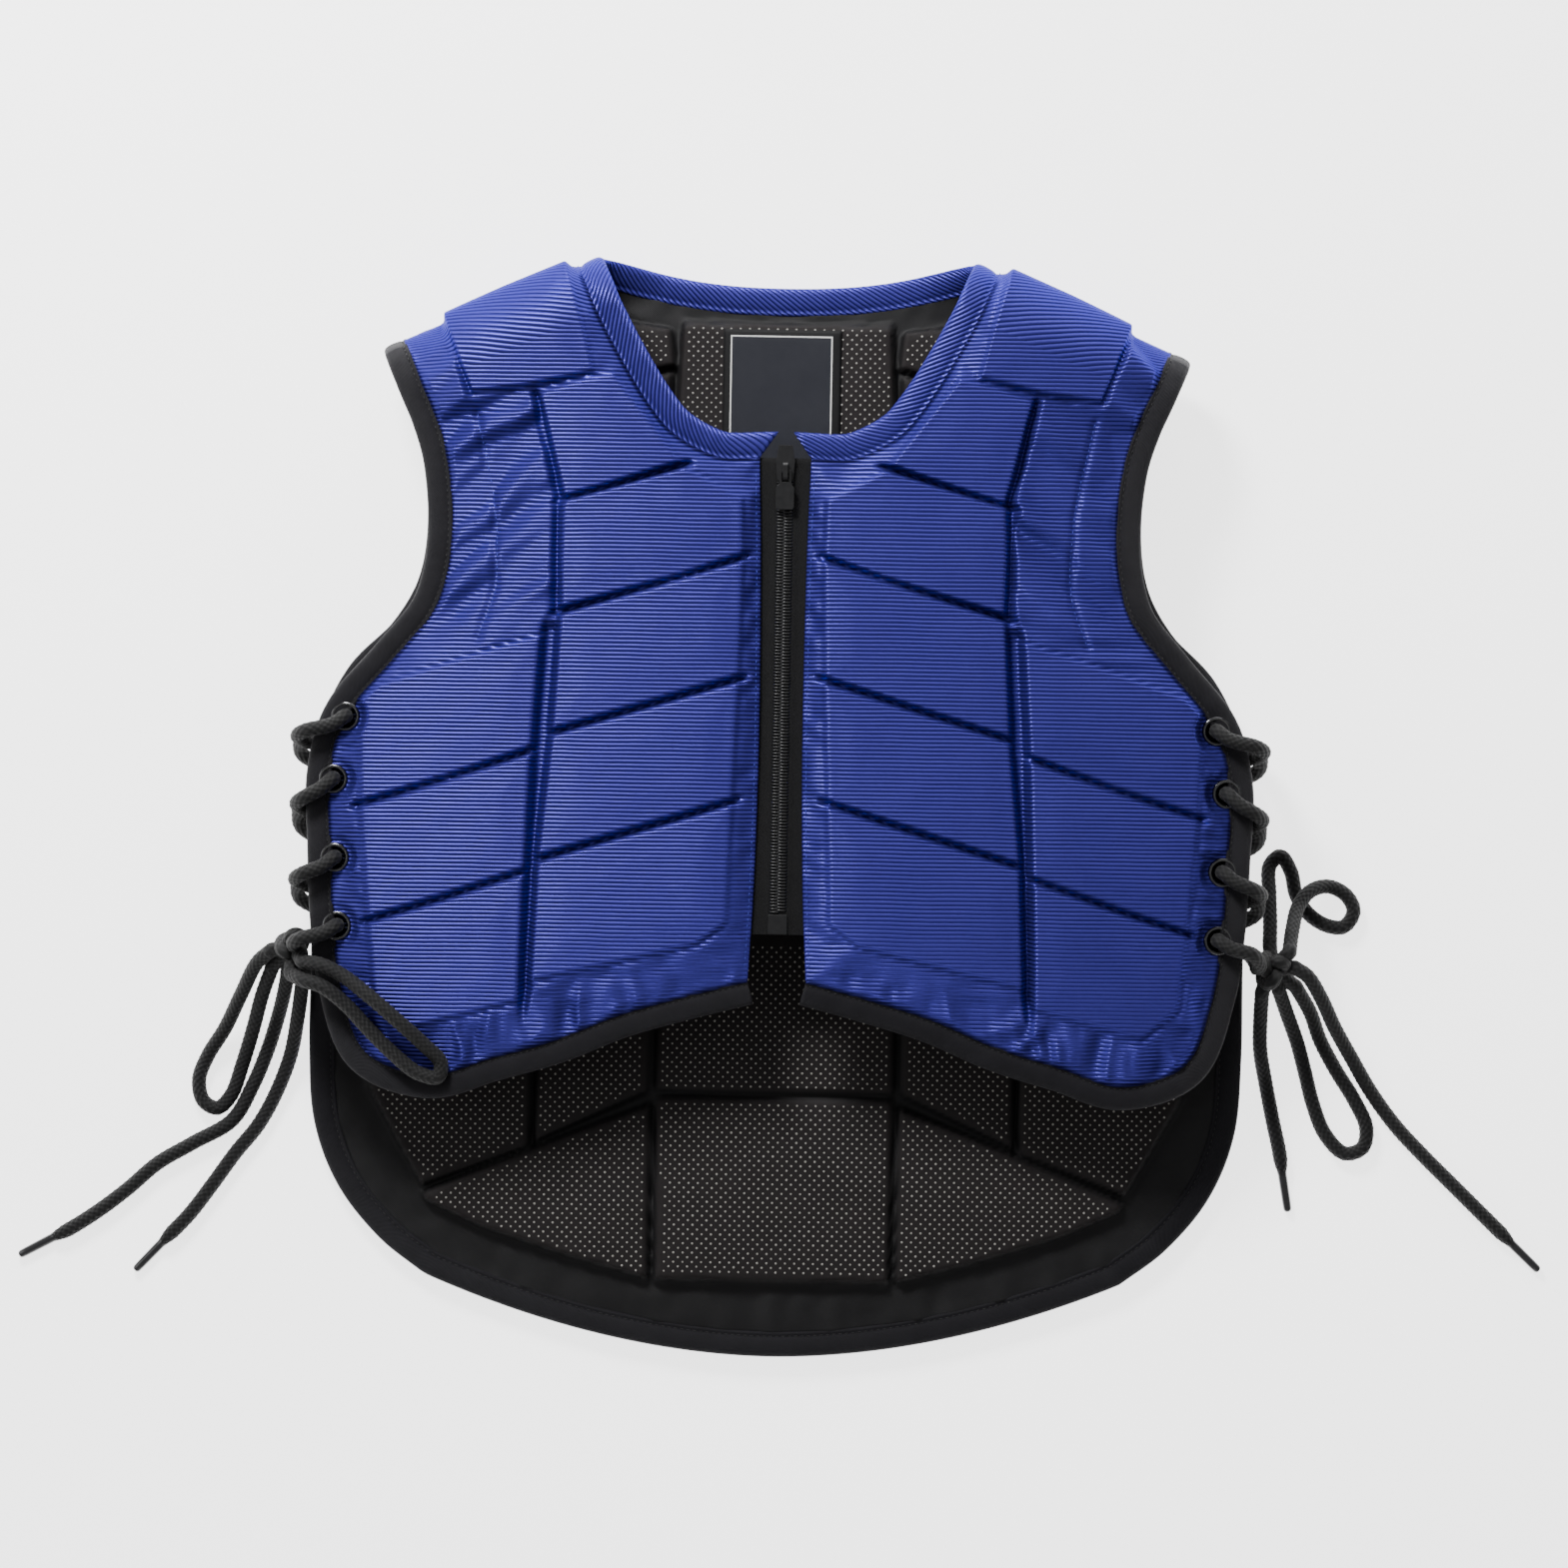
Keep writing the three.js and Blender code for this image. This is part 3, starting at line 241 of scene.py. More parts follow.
def new_object(name, points, faces, materials, corner_uv=None, face_slots=None):
    """A smooth mesh object from points and faces, with its corners' UVs and its faces' materials."""
    mesh = bpy.data.meshes.new(name)
    mesh.from_pydata(np.asarray(points).tolist(), [], faces)
    if corner_uv is not None:
        layer = mesh.uv_layers.new(name="UVMap")
        layer.data.foreach_set("uv", np.asarray(corner_uv, np.float32).ravel())
    for material in materials:
        mesh.materials.append(material)
    if face_slots is not None:
        mesh.polygons.foreach_set("material_index", np.asarray(face_slots, np.int32))
    mesh.polygons.foreach_set("use_smooth", np.ones(len(mesh.polygons), bool))
    mesh.update()
    made = bpy.data.objects.new(name, mesh)
    scene.collection.objects.link(made)
    return made


def tube(name, path, radii, sides, material, relief=None):
    """A closed round tube along a path, with the share of a turn and the run in metres as its UV."""
    tangents = unit(np.gradient(path, axis=0))
    side = unit(np.cross(tangents[0], (0.3, 0.1, 1.0)))
    sides_along = []
    for tangent in tangents:
        side = unit(side - tangent * side.dot(tangent))
        sides_along.append(side)
    across = np.array(sides_along)
    lift = np.cross(tangents, across)
    run = run_along(path)
    angle = np.linspace(0, 2 * math.pi, sides, endpoint=False)
    reach = np.asarray(radii)[:, None] * np.ones(sides)
    if relief is not None:
        reach = reach + relief(angle[None, :], run[:, None])
    ring = np.cos(angle)[None, :, None] * across[:, None] + np.sin(angle)[None, :, None] * lift[:, None]
    points = (path[:, None] + reach[..., None] * ring).reshape(-1, 3)
    rows = len(path)
    faces, uv = [], []
    for r in range(rows - 1):
        for c in range(sides):
            d = (c + 1) % sides
            faces.append((r * sides + c, r * sides + d, (r + 1) * sides + d, (r + 1) * sides + c))
            low, high = c / sides, (c + 1) / sides
            uv += [(low, run[r]), (high, run[r]), (high, run[r + 1]), (low, run[r + 1])]
    for ring_start, order in ((0, -1), ((rows - 1) * sides, 1)):
        faces.append(tuple(ring_start + c for c in range(sides))[::order])
        uv += [(c / sides, run[0 if ring_start == 0 else -1]) for c in range(sides)][::order]
    return new_object(name, points, faces, [material], uv)


def braid_relief(angle, run):
    return BRAID_RELIEF * np.cos(BRAID_ROUND * angle) * np.cos(2 * math.pi * run / BRAID_PITCH)


def lace_tube(name, path, free_end=False):
    """Braid along a path, drawn in towards a free end."""
    to_end = np.linspace(1, 0, len(path)) * (len(path) - 1) * LACE_STEP
    drawn = TAPER_SHARE * np.clip(1 - to_end / TAPER_LENGTH, 0, 1) ** 1.5 * free_end
    radii = (LACE_RADIUS - BRAID_RELIEF * 0.4) * (1 - drawn)
    return tube(name, path, radii, LACE_SIDES, BRAID, braid_relief)


def aglet_gloss():
    material, tree, shader = new_material("aglet_gloss", {"Roughness": 0.22, "Coat Weight": 0.5})
    cloud = noise_at(tree, object_place(tree), 260.0, 3.0)
    colour = mixed_colour(tree, cloud, (0.006, 0.006, 0.007), (0.02, 0.02, 0.022))
    tree.links.new(colour, shader.inputs["Base Color"])
    add_bump(tree, shader, noise_at(tree, object_place(tree), 900.0), 0.03 * MM)
    return material


BRAID = braid_cloth()
AGLET = aglet_gloss()


def aglet_piece(name, end, direction):
    """A crimped tip: a slim tube with a rolled mouth and a closed, slightly pinched end."""
    shares = np.array([0, 0.015, 0.04, 0.08, 0.12, 0.2, 0.5, 0.8, 0.93, 0.975, 1.0])
    girths = np.array([0.86, 1.06, 1.1, 1.06, 0.98, 1.0, 0.97, 0.95, 0.9, 0.74, 0.4])
    start = end - direction * AGLET_OVERLAP
    start[2] = AGLET_RADIUS + 0.1 * MM
    path = start + np.outer(shares, direction) * (AGLET_LENGTH + AGLET_OVERLAP)
    return tube(name, path, girths * AGLET_RADIUS, 20, AGLET)


def overhand(name, centre, turned):
    """The bow's knot: one strand that passes round and through itself, pulled tight."""
    t = np.linspace(0, 2 * math.pi, 120)
    shape = np.stack([np.sin(t) + 2 * np.sin(2 * t), np.cos(t) - 2 * np.cos(2 * t), -np.sin(3 * t)], 1)
    path = shape * ((np.array(KNOT_HALF_SIZE) * MM - KNOT_STRAND) / (2.8, 2.8, 1.0))
    c, s = math.cos(turned), math.sin(turned)
    path = path @ np.array([[c, s, 0], [-s, c, 0], [0, 0, 1]]) + np.array(centre)
    return tube(name, path, np.full(len(path), KNOT_STRAND), KNOT_SIDES, BRAID, braid_relief)


def add_leads(knot, side, centre):
    """The strands inside the knot that its loops and ends come out of, merged into the knot."""
    shape = bmesh.new()
    shape.from_mesh(knot.data)
    for name, route in FREE_LACES.items():
        if name.split("_")[1] != side:
            continue
        ends = [route[:2]] if name.startswith("tail") else [route[:2], route[:-3:-1]]
        for start, after in np.array(ends, float) * MM:
            path = np.array([centre + (start - centre) * share for share in LEAD_SHARES])
            path = np.concatenate([path, [start + LEAD_OVERLAP * unit(after - start)]])
            path, _ = centripetal(path, LACE_STEP)
            radii = np.full(len(path), LACE_RADIUS)
            lead = tube("knot_lead", path, radii, KNOT_SIDES, BRAID, braid_relief)
            shape.from_mesh(lead.data)
            bpy.data.objects.remove(lead)
    shape.to_mesh(knot.data)
    shape.free()


def tie_bows():
    knots = {}
    for side, centre in KNOTS.items():
        knots[side] = overhand(f"bow_knot_{side}", centre, KNOT_TURNS[side])
        add_leads(knots[side], side, np.array(centre))
        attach(knots[side], "vest")
        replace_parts(knots[side], f"knot_{side}")
    for name, route in FREE_LACES.items():
        path, length = centripetal(np.array(route) * MM, LACE_STEP)
        side = name.split("_")[1]
        free_end = name.startswith("tail")
        piece = lace_tube(f"lace_{name}", path, free_end)
        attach(piece, "vest")
        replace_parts(piece, name)
        if free_end:
            direction = np.array(route[-1], float) - np.array(route[-2], float)
            direction[2] = 0
            tip = aglet_piece(f"tip_{name}", path[-1].copy(), unit(direction))
            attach(tip, "vest")
            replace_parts(tip, name.replace("tail", "aglet"))


tie_bows()

# Floor and light
# A plain pale table that glows as for a catalogue picture. A strong soft lamp stands at the upper left,
# weaker ones light the left side, the right shoulder and the hem, and a pale light comes from all round.
FLOOR_HALF = 4.0
FLOOR_LEVEL = -0.15 * MM
FLOOR_GLOW = 2.6
WORLD_LIGHT = 0.32


def lay_floor():
    material, tree, shader = new_material("pale_floor", {
        "Roughness": 0.9, "Emission Color": (1, 1, 1, 1), "Emission Strength": FLOOR_GLOW})
    cloud = noise_at(tree, object_place(tree), 3.0)
    colour = mixed_colour(tree, cloud, (0.86, 0.86, 0.865), (0.89, 0.89, 0.895))
    tree.links.new(colour, shader.inputs["Base Color"])
    corners = [(x * FLOOR_HALF, y * FLOOR_HALF, FLOOR_LEVEL)
               for x, y in ((-1, -1), (1, -1), (1, 1), (-1, 1))]
    floor = new_object("floor", corners, [(0, 1, 2, 3)], [material])


def add_lamp(name, place, size, power):
    data = bpy.data.lights.new(name, "AREA")
    data.shape = "SQUARE"
    data.size = size
    data.energy = power
    lamp = bpy.data.objects.new(name, data)
    lamp.location = place
    lamp.rotation_euler = (Vector((0, 0, 0)) - Vector(place)).to_track_quat("-Z", "Y").to_euler()
    scene.collection.objects.link(lamp)


lay_floor()
add_lamp("key_lamp", (-0.41, 0.95, 0.8), 0.32, 25)
add_lamp("left_lamp", (-1.3, 0.1, 0.9), 0.8, 4)
add_lamp("shoulder_lamp", (0.5, 1.4, 0.45), 0.9, 7)
add_lamp("hem_lamp", (0.1, -1.4, 0.6), 0.7, 1.5)
world = bpy.data.worlds.new("studio")
scene.world = world
world.use_nodes = True
world.node_tree.nodes["Background"].inputs[0].default_value = (1.0, 1.0, 1.0, 1)
world.node_tree.nodes["Background"].inputs[1].default_value = WORLD_LIGHT

# Back panel
# Shell cloth, foam and perforated lining pressed together, with raised foam blocks that show on both
# sides. The vest lies on it, so its lining faces up.
HALF_WIDTH = 188.0
HALF_LENGTH = 232.0
NECK_POINT = np.array([0.468 * HALF_WIDTH, 0.974 * HALF_LENGTH])
ARM_POINT = np.array([0.8564 * HALF_WIDTH, 0.8362 * HALF_LENGTH])
BACK_NECK_Y = 0.9073 * HALF_LENGTH
FRONT_HEIGHT = 50.0
BACK_HEIGHT = 6.3
SEAM_HEIGHT = 25.0
FOLD_RADIUS = 22.0
HALF_WALL = 1.5
BACK_BLOCK_RISE = 6.5
BACK_COLUMNS = 223
BACK_SPACING = 1.75
FOLD_TURNS = np.array([0, 0.5, 0.866, 1])
FRONT_ARCH = 8.0
FRONT_HEM_DROP = 5.0
BACK_RIM_LIFT = 8.0
fold_line = unit(ARM_POINT - NECK_POINT)
fold_normal = np.array([-fold_line[1], fold_line[0]])

BACK_ROWS = np.array([
    # middle y, outer x, outer y: shares of the half length, half width and half length
    (-0.96, 0.761, -0.823), (-0.875, 0.856, -0.763), (-0.759, 0.941, -0.677), (-0.625, 0.989, -0.573),
    (-0.466, 1, -0.444), (-0.306, 1, -0.293), (-0.147, 1, -0.142), (0, 1, 0), (0.129, 0.992, 0.121),
    (0.241, 0.936, 0.224), (0.345, 0.84, 0.306), (0.448, 0.777, 0.397), (0.56, 0.755, 0.504),
    (0.69, 0.766, 0.629)])

# Blocks as ribs: low x, low y, high x, high y, in shares
BACK_SIDE_BLOCKS = [
    [(0.255, 0.81, 0.266, 0.875), (0.383, 0.784, 0.4, 0.89), (0.537, 0.757, 0.569, 0.905),
     (0.697, 0.733, 0.758, 0.866)],
    [(0.28, 0.48, 0.262, 0.795), (0.537, 0.39, 0.537, 0.745)],
    [(0.287, 0.148, 0.282, 0.468), (0.537, 0.058, 0.537, 0.378)],
    [(0.287, -0.184, 0.287, 0.136), (0.537, -0.274, 0.537, 0.046)],
    [(0.287, -0.515, 0.287, -0.196), (0.537, -0.61, 0.537, -0.286)],
    [(0.282, -0.86, 0.282, -0.545), (0.468, -0.819, 0.45, -0.597), (0.65, -0.772, 0.64, -0.66),
     (0.782, -0.724, 0.787, -0.712)],
    [(0.555, 0.052, 0.537, 0.306), (0.75, 0.02, 0.73, 0.262), (0.915, -0.02, 0.915, 0.19)],
    [(0.555, -0.28, 0.555, 0.04), (0.75, -0.315, 0.75, 0.008), (0.915, -0.35, 0.915, -0.032)],
    [(0.555, -0.62, 0.555, -0.292), (0.793, -0.694, 0.75, -0.327), (0.915, -0.52, 0.915, -0.362)],
]
BACK_MIDDLE_BLOCKS = [
    [(-0.262, -0.862, -0.265, -0.528), (0.262, -0.862, 0.265, -0.528)],
    [(-0.267, -0.515, -0.267, -0.196), (0.267, -0.515, 0.267, -0.196)],
    [(-0.267, -0.184, -0.267, 0.136), (0.267, -0.184, 0.267, 0.136)],
    [(-0.267, 0.148, -0.262, 0.468), (0.267, 0.148, 0.262, 0.468)],
    [(-0.26, 0.48, -0.234, 0.886), (0.26, 0.48, 0.234, 0.886)],
]
neck_share = NECK_POINT[0] / ARM_POINT[0]


def smoothstep(value, low, high):
    u = np.clip((value - low) / (high - low), 0, 1)
    return u * u * (3 - 2 * u)


def front_flat(x, y):
    arch = FRONT_ARCH * (np.abs(x) / HALF_WIDTH) ** 2.4
    return FRONT_HEIGHT - arch - FRONT_HEM_DROP * smoothstep(-y / HALF_LENGTH, 0.1, 0.5)


def back_flat(x, y):
    out = np.maximum(0, (np.abs(x) / HALF_WIDTH - 0.78) / 0.22)
    return BACK_HEIGHT + BACK_RIM_LIFT * out ** 2 * (1 - smoothstep(-y / HALF_LENGTH, 0.25, 0.7))


def fold_sine(x, y):
    """0 on the flat cloth, rising to 1 where the cloth stands upright at the shoulder seam."""
    ahead = (NECK_POINT[0] - np.abs(x)) * fold_normal[0] + (NECK_POINT[1] - y) * fold_normal[1]
    return np.clip(1 - ahead / FOLD_RADIUS, 0, 1)


def skin(flat, outward, x, y):
    """Points and outward normals of a wall's middle, flat and then turned over the shoulder."""
    sine = fold_sine(x, y)
    cosine = np.sqrt(1 - sine ** 2)
    reach = np.abs(flat(x, y) - SEAM_HEIGHT)
    level = cosine / reach
    slope_x = flat(x + 0.5, y) - flat(x - 0.5, y)
    slope_y = flat(x, y + 0.5) - flat(x, y - 0.5)
    normal = np.stack([
        np.sign(x) * fold_normal[0] * sine / FOLD_RADIUS - outward * slope_x * level,
        fold_normal[1] * sine / FOLD_RADIUS - outward * slope_y * level,
        outward * level], -1)
    point = np.stack([x, y, SEAM_HEIGHT + outward * reach * cosine], -1)
    return point, unit(normal)


def front_skin(x, y):
    return skin(front_flat, 1, x, y)


def back_skin(x, y):
    return skin(back_flat, -1, x, y)


def catmull(points, t, before=None, after=None):
    """A smooth curve through rows of points, at row numbers t."""
    points = np.asarray(points, float)
    head = 2 * points[0] - points[1] if before is None else before
    tail = 2 * points[-1] - points[-2] if after is None else after
    chain = np.concatenate([[head], points, [tail]])
    i = np.clip(np.floor(t).astype(int), 0, len(points) - 2)
    u = (t - i).reshape((-1,) + (1,) * (points.ndim - 1))
    p0, p1, p2, p3 = chain[i], chain[i + 1], chain[i + 2], chain[i + 3]
    return 0.5 * (2 * p1 + (p2 - p0) * u + (2 * p0 - 5 * p1 + 4 * p2 - p3) * u ** 2
                  + (3 * p1 - p0 - 3 * p2 + p3) * u ** 3)


def row_steps(rows, spacing):
    """Row numbers that divide each space between rows into steps of about that size."""
    steps = []
    for r in range(len(rows) - 1):
        wide = np.linalg.norm(rows[r + 1] - rows[r], axis=-1).max()
        steps.append(r + np.arange(max(2, int(wide / spacing))) / max(2, int(wide / spacing)))
    return np.concatenate([*steps, [len(rows) - 1.0]])


def back_place(shares):
    """The back's rows from tail to shoulder, for these shares from its middle line to its side."""
    s = np.abs(shares)
    rows = [np.stack([shares * x * HALF_WIDTH, (mid + (y - mid) * s ** 1.9) * HALF_LENGTH], -1)
            for mid, x, y in BACK_ROWS]
    along = np.clip((s - neck_share) / (1 - neck_share), 0, 1)
    neck = BACK_NECK_Y + (NECK_POINT[1] - BACK_NECK_Y) * np.clip(s / neck_share, 0, 1) ** 2.3
    top = np.where(s >= neck_share, NECK_POINT[1] + (ARM_POINT[1] - NECK_POINT[1]) * along, neck)
    lean = np.minimum(1, s / neck_share) * np.sign(shares)
    for turned in FOLD_TURNS:
        inwards = FOLD_RADIUS * (1 - turned)
        rows.append(np.stack([shares * ARM_POINT[0] - fold_normal[0] * inwards * lean,
                              top - fold_normal[1] * inwards], -1))
    return np.array(rows)


def block_outline(ribs, start, side=1):
    ribs = np.array(ribs)
    xs = start + ribs[:, 0::2] * (HALF_WIDTH - start)
    ys = ribs[:, 1::2] * HALF_LENGTH
    low = np.stack([xs[:, 0] * side, ys[:, 0]], 1)
    high = np.stack([xs[:, 1] * side, ys[:, 1]], 1)
    return np.concatenate([low, high[::-1]])


def line_distance(places, line, closed=False):
    """Distance of each place from a line of points."""
    ends = np.roll(line, -1, 0) if closed else line[1:]
    best = np.full(len(places), 1e9)
    for a, b in zip(line, ends):
        run = b - a
        along = np.clip(((places - a) @ run) / max(run @ run, 1e-9), 0, 1)
        best = np.minimum(best, np.linalg.norm(places - a - along[:, None] * run, axis=1))
    return best


def depth_inside(places, outline):
    """Distance from an outline, positive inside it."""
    inside = np.zeros(len(places), bool)
    for a, b in zip(outline, np.roll(outline, -1, 0)):
        if a[1] == b[1]:
            continue
        crosses = (a[1] > places[:, 1]) != (b[1] > places[:, 1])
        at = (b[0] - a[0]) * (places[:, 1] - a[1]) / (b[1] - a[1]) + a[0]
        inside ^= crosses & (places[:, 0] < at)
    return np.where(inside, 1, -1) * line_distance(places, outline, closed=True)


def noise(u, v, seed):
    """Soft bumps about one apart in u and v, from -1 to 1."""
    table = np.random.default_rng(seed).uniform(-1, 1, (97, 97))
    i, j = np.floor(u).astype(int), np.floor(v).astype(int)
    a, b = smoothstep(u - i, 0, 1), smoothstep(v - j, 0, 1)
    low = table[i % 97, j % 97] * (1 - a) + table[(i + 1) % 97, j % 97] * a
    high = table[i % 97, (j + 1) % 97] * (1 - a) + table[(i + 1) % 97, (j + 1) % 97] * a
    return low * (1 - b) + high * b


def block_profile(depth):
    """From 0 in a groove to 1 on a block's face, steep at its foot and rounded at its edge."""
    u = np.clip((depth + 0.9) / 1.9, 0, 1)
    return 1 - (1 - u) ** 2.4


BACK_OUTLINES = [block_outline(ribs, 0, side) for ribs in BACK_SIDE_BLOCKS for side in (1, -1)]
BACK_OUTLINES += [block_outline(ribs, 0) for ribs in BACK_MIDDLE_BLOCKS]


def depth_in_blocks(places, outlines):
    return np.max([depth_inside(places, outline) for outline in outlines], axis=0)


def lining_rise(places, depth):
    """Height of the back's lining above the middle of its wall."""
    soft = 0.35 * noise(places[:, 0] / 11, places[:, 1] / 9, 5) * smoothstep(-depth, 1, 4)
    border = 0.5 * noise(places[:, 0] / 7, places[:, 1] / 16, 8) * smoothstep(-depth, 3, 8)
    crown = 0.3 * smoothstep(depth, 1, 12)
    return HALF_WALL + (BACK_BLOCK_RISE - HALF_WALL) * block_profile(depth) + crown + soft + border


def shell_rise(places, depth):
    """Height of the back's shell above the middle of its wall. Its blocks just reach the surface."""
    top = BACK_HEIGHT - 0.05
    slack = 0.4 * noise(places[:, 0] / 8, places[:, 1] / 12, 11) * smoothstep(-depth, 1, 4)
    return HALF_WALL + (top - HALF_WALL) * block_profile(depth) + slack


def mark_points(piece, name, values):
    """Gives each point of a piece a value that its material reads."""
    layer = piece.data.attributes.new(name, "FLOAT", "POINT")
    layer.data.foreach_set("value", values.astype(np.float32))


def padded_wall(name, top, bottom, top_uv, stride, materials, marks):
    """A closed wall: a fine upper grid and a coarser lower one that share their rims' corners."""
    rows, columns = top.shape[:2]
    keep_r = np.unique(np.r_[np.arange(0, rows, stride), rows - 1])
    keep_c = np.unique(np.r_[np.arange(0, columns, stride), columns - 1])
    lower = bottom[np.ix_(keep_r, keep_c)]
    low_uv = top_uv[np.ix_(keep_r, keep_c)]
    start = rows * columns
    points = np.concatenate([top.reshape(-1, 3), lower.reshape(-1, 3)])
    uv = np.concatenate([top_uv.reshape(-1, 2), low_uv.reshape(-1, 2)])
    r, c = np.meshgrid(np.arange(rows - 1), np.arange(columns - 1), indexing="ij")
    a = (r * columns + c).ravel()
    upper_faces = np.stack([a, a + 1, a + columns + 1, a + columns], 1)
    wide = len(keep_c)
    r, c = np.meshgrid(np.arange(len(keep_r) - 1), np.arange(wide - 1), indexing="ij")
    a = (start + r * wide + c).ravel()
    lower_faces = np.stack([a, a + wide, a + wide + 1, a + 1], 1)
    faces = upper_faces.tolist() + lower_faces.tolist()
    sides = []
    for j in range(wide - 1):
        fine = list(range(keep_c[j], keep_c[j + 1] + 1))
        sides.append([start + j, start + j + 1, *fine[::-1]])
        far = (rows - 1) * columns
        low = start + (len(keep_r) - 1) * wide
        sides.append([low + j + 1, low + j, *[far + k for k in fine]])
    for j in range(len(keep_r) - 1):
        fine = list(range(keep_r[j], keep_r[j + 1] + 1))
        sides.append([start + (j + 1) * wide, start + j * wide, *[k * columns for k in fine]])
        sides.append([start + j * wide + wide - 1, start + (j + 1) * wide + wide - 1,
                      *[k * columns + columns - 1 for k in fine[::-1]]])
    faces += sides
    slots = np.r_[np.zeros(len(upper_faces)), np.ones(len(lower_faces)), np.zeros(len(sides))]
    corners = np.concatenate([upper_faces.ravel(), lower_faces.ravel(), *sides])
    wall = new_object(name, points * MM, faces, materials, uv[corners] * MM, slots)
    for key, values in marks.items():
        mark_points(wall, key, np.concatenate([values.ravel(), values[np.ix_(keep_r, keep_c)].ravel()]))
    return wall


def cloth_place(x, y):
    """Place on the flat cloth: as seen from above, but with its true length round the shoulder fold."""
    sine = fold_sine(x, y)
    extra = 0.5 * (FOLD_RADIUS + SEAM_HEIGHT) * np.arcsin(sine) - FOLD_RADIUS * sine
    return np.stack([x + np.sign(x) * fold_normal[0] * extra, y + fold_normal[1] * extra], -1)


def attribute(tree, name):
    return add_node(tree, "ShaderNodeAttribute", attribute_name=name).outputs["Fac"]


def wave(tree, value, pitch):
    return math_node(tree, "SINE", math_node(tree, "MULTIPLY", value, 2 * math.pi / pitch))


def woven(tree, axes, pitch_across, pitch_along):
    """Height of a plain weave with threads both ways."""
    return math_node(tree, "MULTIPLY", wave(tree, axes[0], pitch_across), wave(tree, axes[1], pitch_along))


def lining_cloth():
    """Black lining: fine mesh over the foam, smoother and darker in the grooves and round the rim."""
    material, tree, shader = new_material("lining_cloth", {
        "Specular IOR Level": 0.25, "Sheen Weight": 0.04, "Sheen Roughness": 0.4})
    place = object_place(tree)
    pad = attribute(tree, "pad")
    weave = woven(tree, plane_axes(tree, place), 0.8 * MM, 0.8 * MM)
    cloud = noise_at(tree, place, 55.0, 4.0)
    padded = mixed_colour(tree, cloud, (0.0075, 0.0058, 0.006), (0.0145, 0.0115, 0.012))
    border = mixed_colour(tree, cloud, (0.0035, 0.0035, 0.004), (0.0085, 0.0082, 0.009))
    tree.links.new(mixed_colour(tree, pad, border, padded), shader.inputs["Base Color"])
    rough = math_node(tree, "MULTIPLY_ADD", pad, 0.2, 0.52)
    tree.links.new(rough, shader.inputs["Roughness"])
    add_bump(tree, shader, weave, 0.05 * MM)
    return material


RIB_PITCH = 1.72 * MM


def shell_cloth():
    """Blue ribbed satin: round cords of floating yarn across the vest, with painted shade between them, in
    the eyelet holes and along the rims under the bindings and band.
    """
    material, tree, shader = new_material("shell_cloth", {
        "Metallic": 0.68, "Roughness": 0.38, "Specular IOR Level": 0.1,
        "Specular Tint": (0.22, 0.24, 0.9, 1)})
    across, along = uv_axes(tree)
    place = object_place(tree)
    drift = math_node(tree, "MULTIPLY", noise_at(tree, place, 30.0), 0.9 * MM)
    rib_run = math_node(tree, "MULTIPLY", math_node(tree, "ADD", along, drift), math.pi / RIB_PITCH)
    rib = math_node(tree, "ABSOLUTE", math_node(tree, "SINE", rib_run))
    rib_height = math_node(tree, "POWER", rib, 0.7)
    yarn = wave(tree, across, 0.84 * MM)
    height = math_node(tree, "MULTIPLY_ADD", yarn, 0.012, rib_height)
    cloud = noise_at(tree, place, 42.0, 3.0)
    face = mixed_colour(tree, cloud, (0.048, 0.043, 0.28), (0.061, 0.055, 0.34))
    # Painted shade: the valleys between the ribs are coloured far darker than the cords' faces.
    painted_valley_shade = (0.006, 0.006, 0.05)
    colour = mixed_colour(tree, rib_height, painted_valley_shade, face)
    # Painted shade: the cloth is coloured near black in the eyelet holes and along the rims that run under
    # the bindings and band.
    hole_painted_shade = attribute(tree, "hole_painted_shade")
    tree.links.new(mixed_colour(tree, hole_painted_shade, colour, (0.002, 0.002, 0.003)), shader.inputs["Base Color"])
    add_bump(tree, shader, height, 0.5 * MM)
    return material


LINING = lining_cloth()
SHELL = shell_cloth()


def make_back():
    """The back from tail to shoulder seam, lining up."""
    shares = np.unique(np.r_[np.linspace(-1, 1, BACK_COLUMNS), neck_share, -neck_share])
    controls = back_place(shares)
    plan = catmull(controls, row_steps(controls, BACK_SPACING))
    x, y = plan[..., 0], plan[..., 1]
    places = plan.reshape(-1, 2)
    depth = depth_in_blocks(places, BACK_OUTLINES)
    point, normal = back_skin(x, y)
    inner = point - normal * lining_rise(places, depth).reshape(x.shape)[..., None]
    outer = point + normal * shell_rise(places, depth).reshape(x.shape)[..., None]
    outer[..., 2] = np.maximum(outer[..., 2], 0.02)
    uv = cloth_place(x, y)
    marks = {"pad": smoothstep(depth, -0.6, 0.8).reshape(x.shape), "hole_painted_shade": np.zeros(x.shape)}
    back = padded_wall("back_padding", inner, outer, uv, 2, [LINING, SHELL], marks)
    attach(back, "vest")
    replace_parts(back, "back_panel")


make_back()

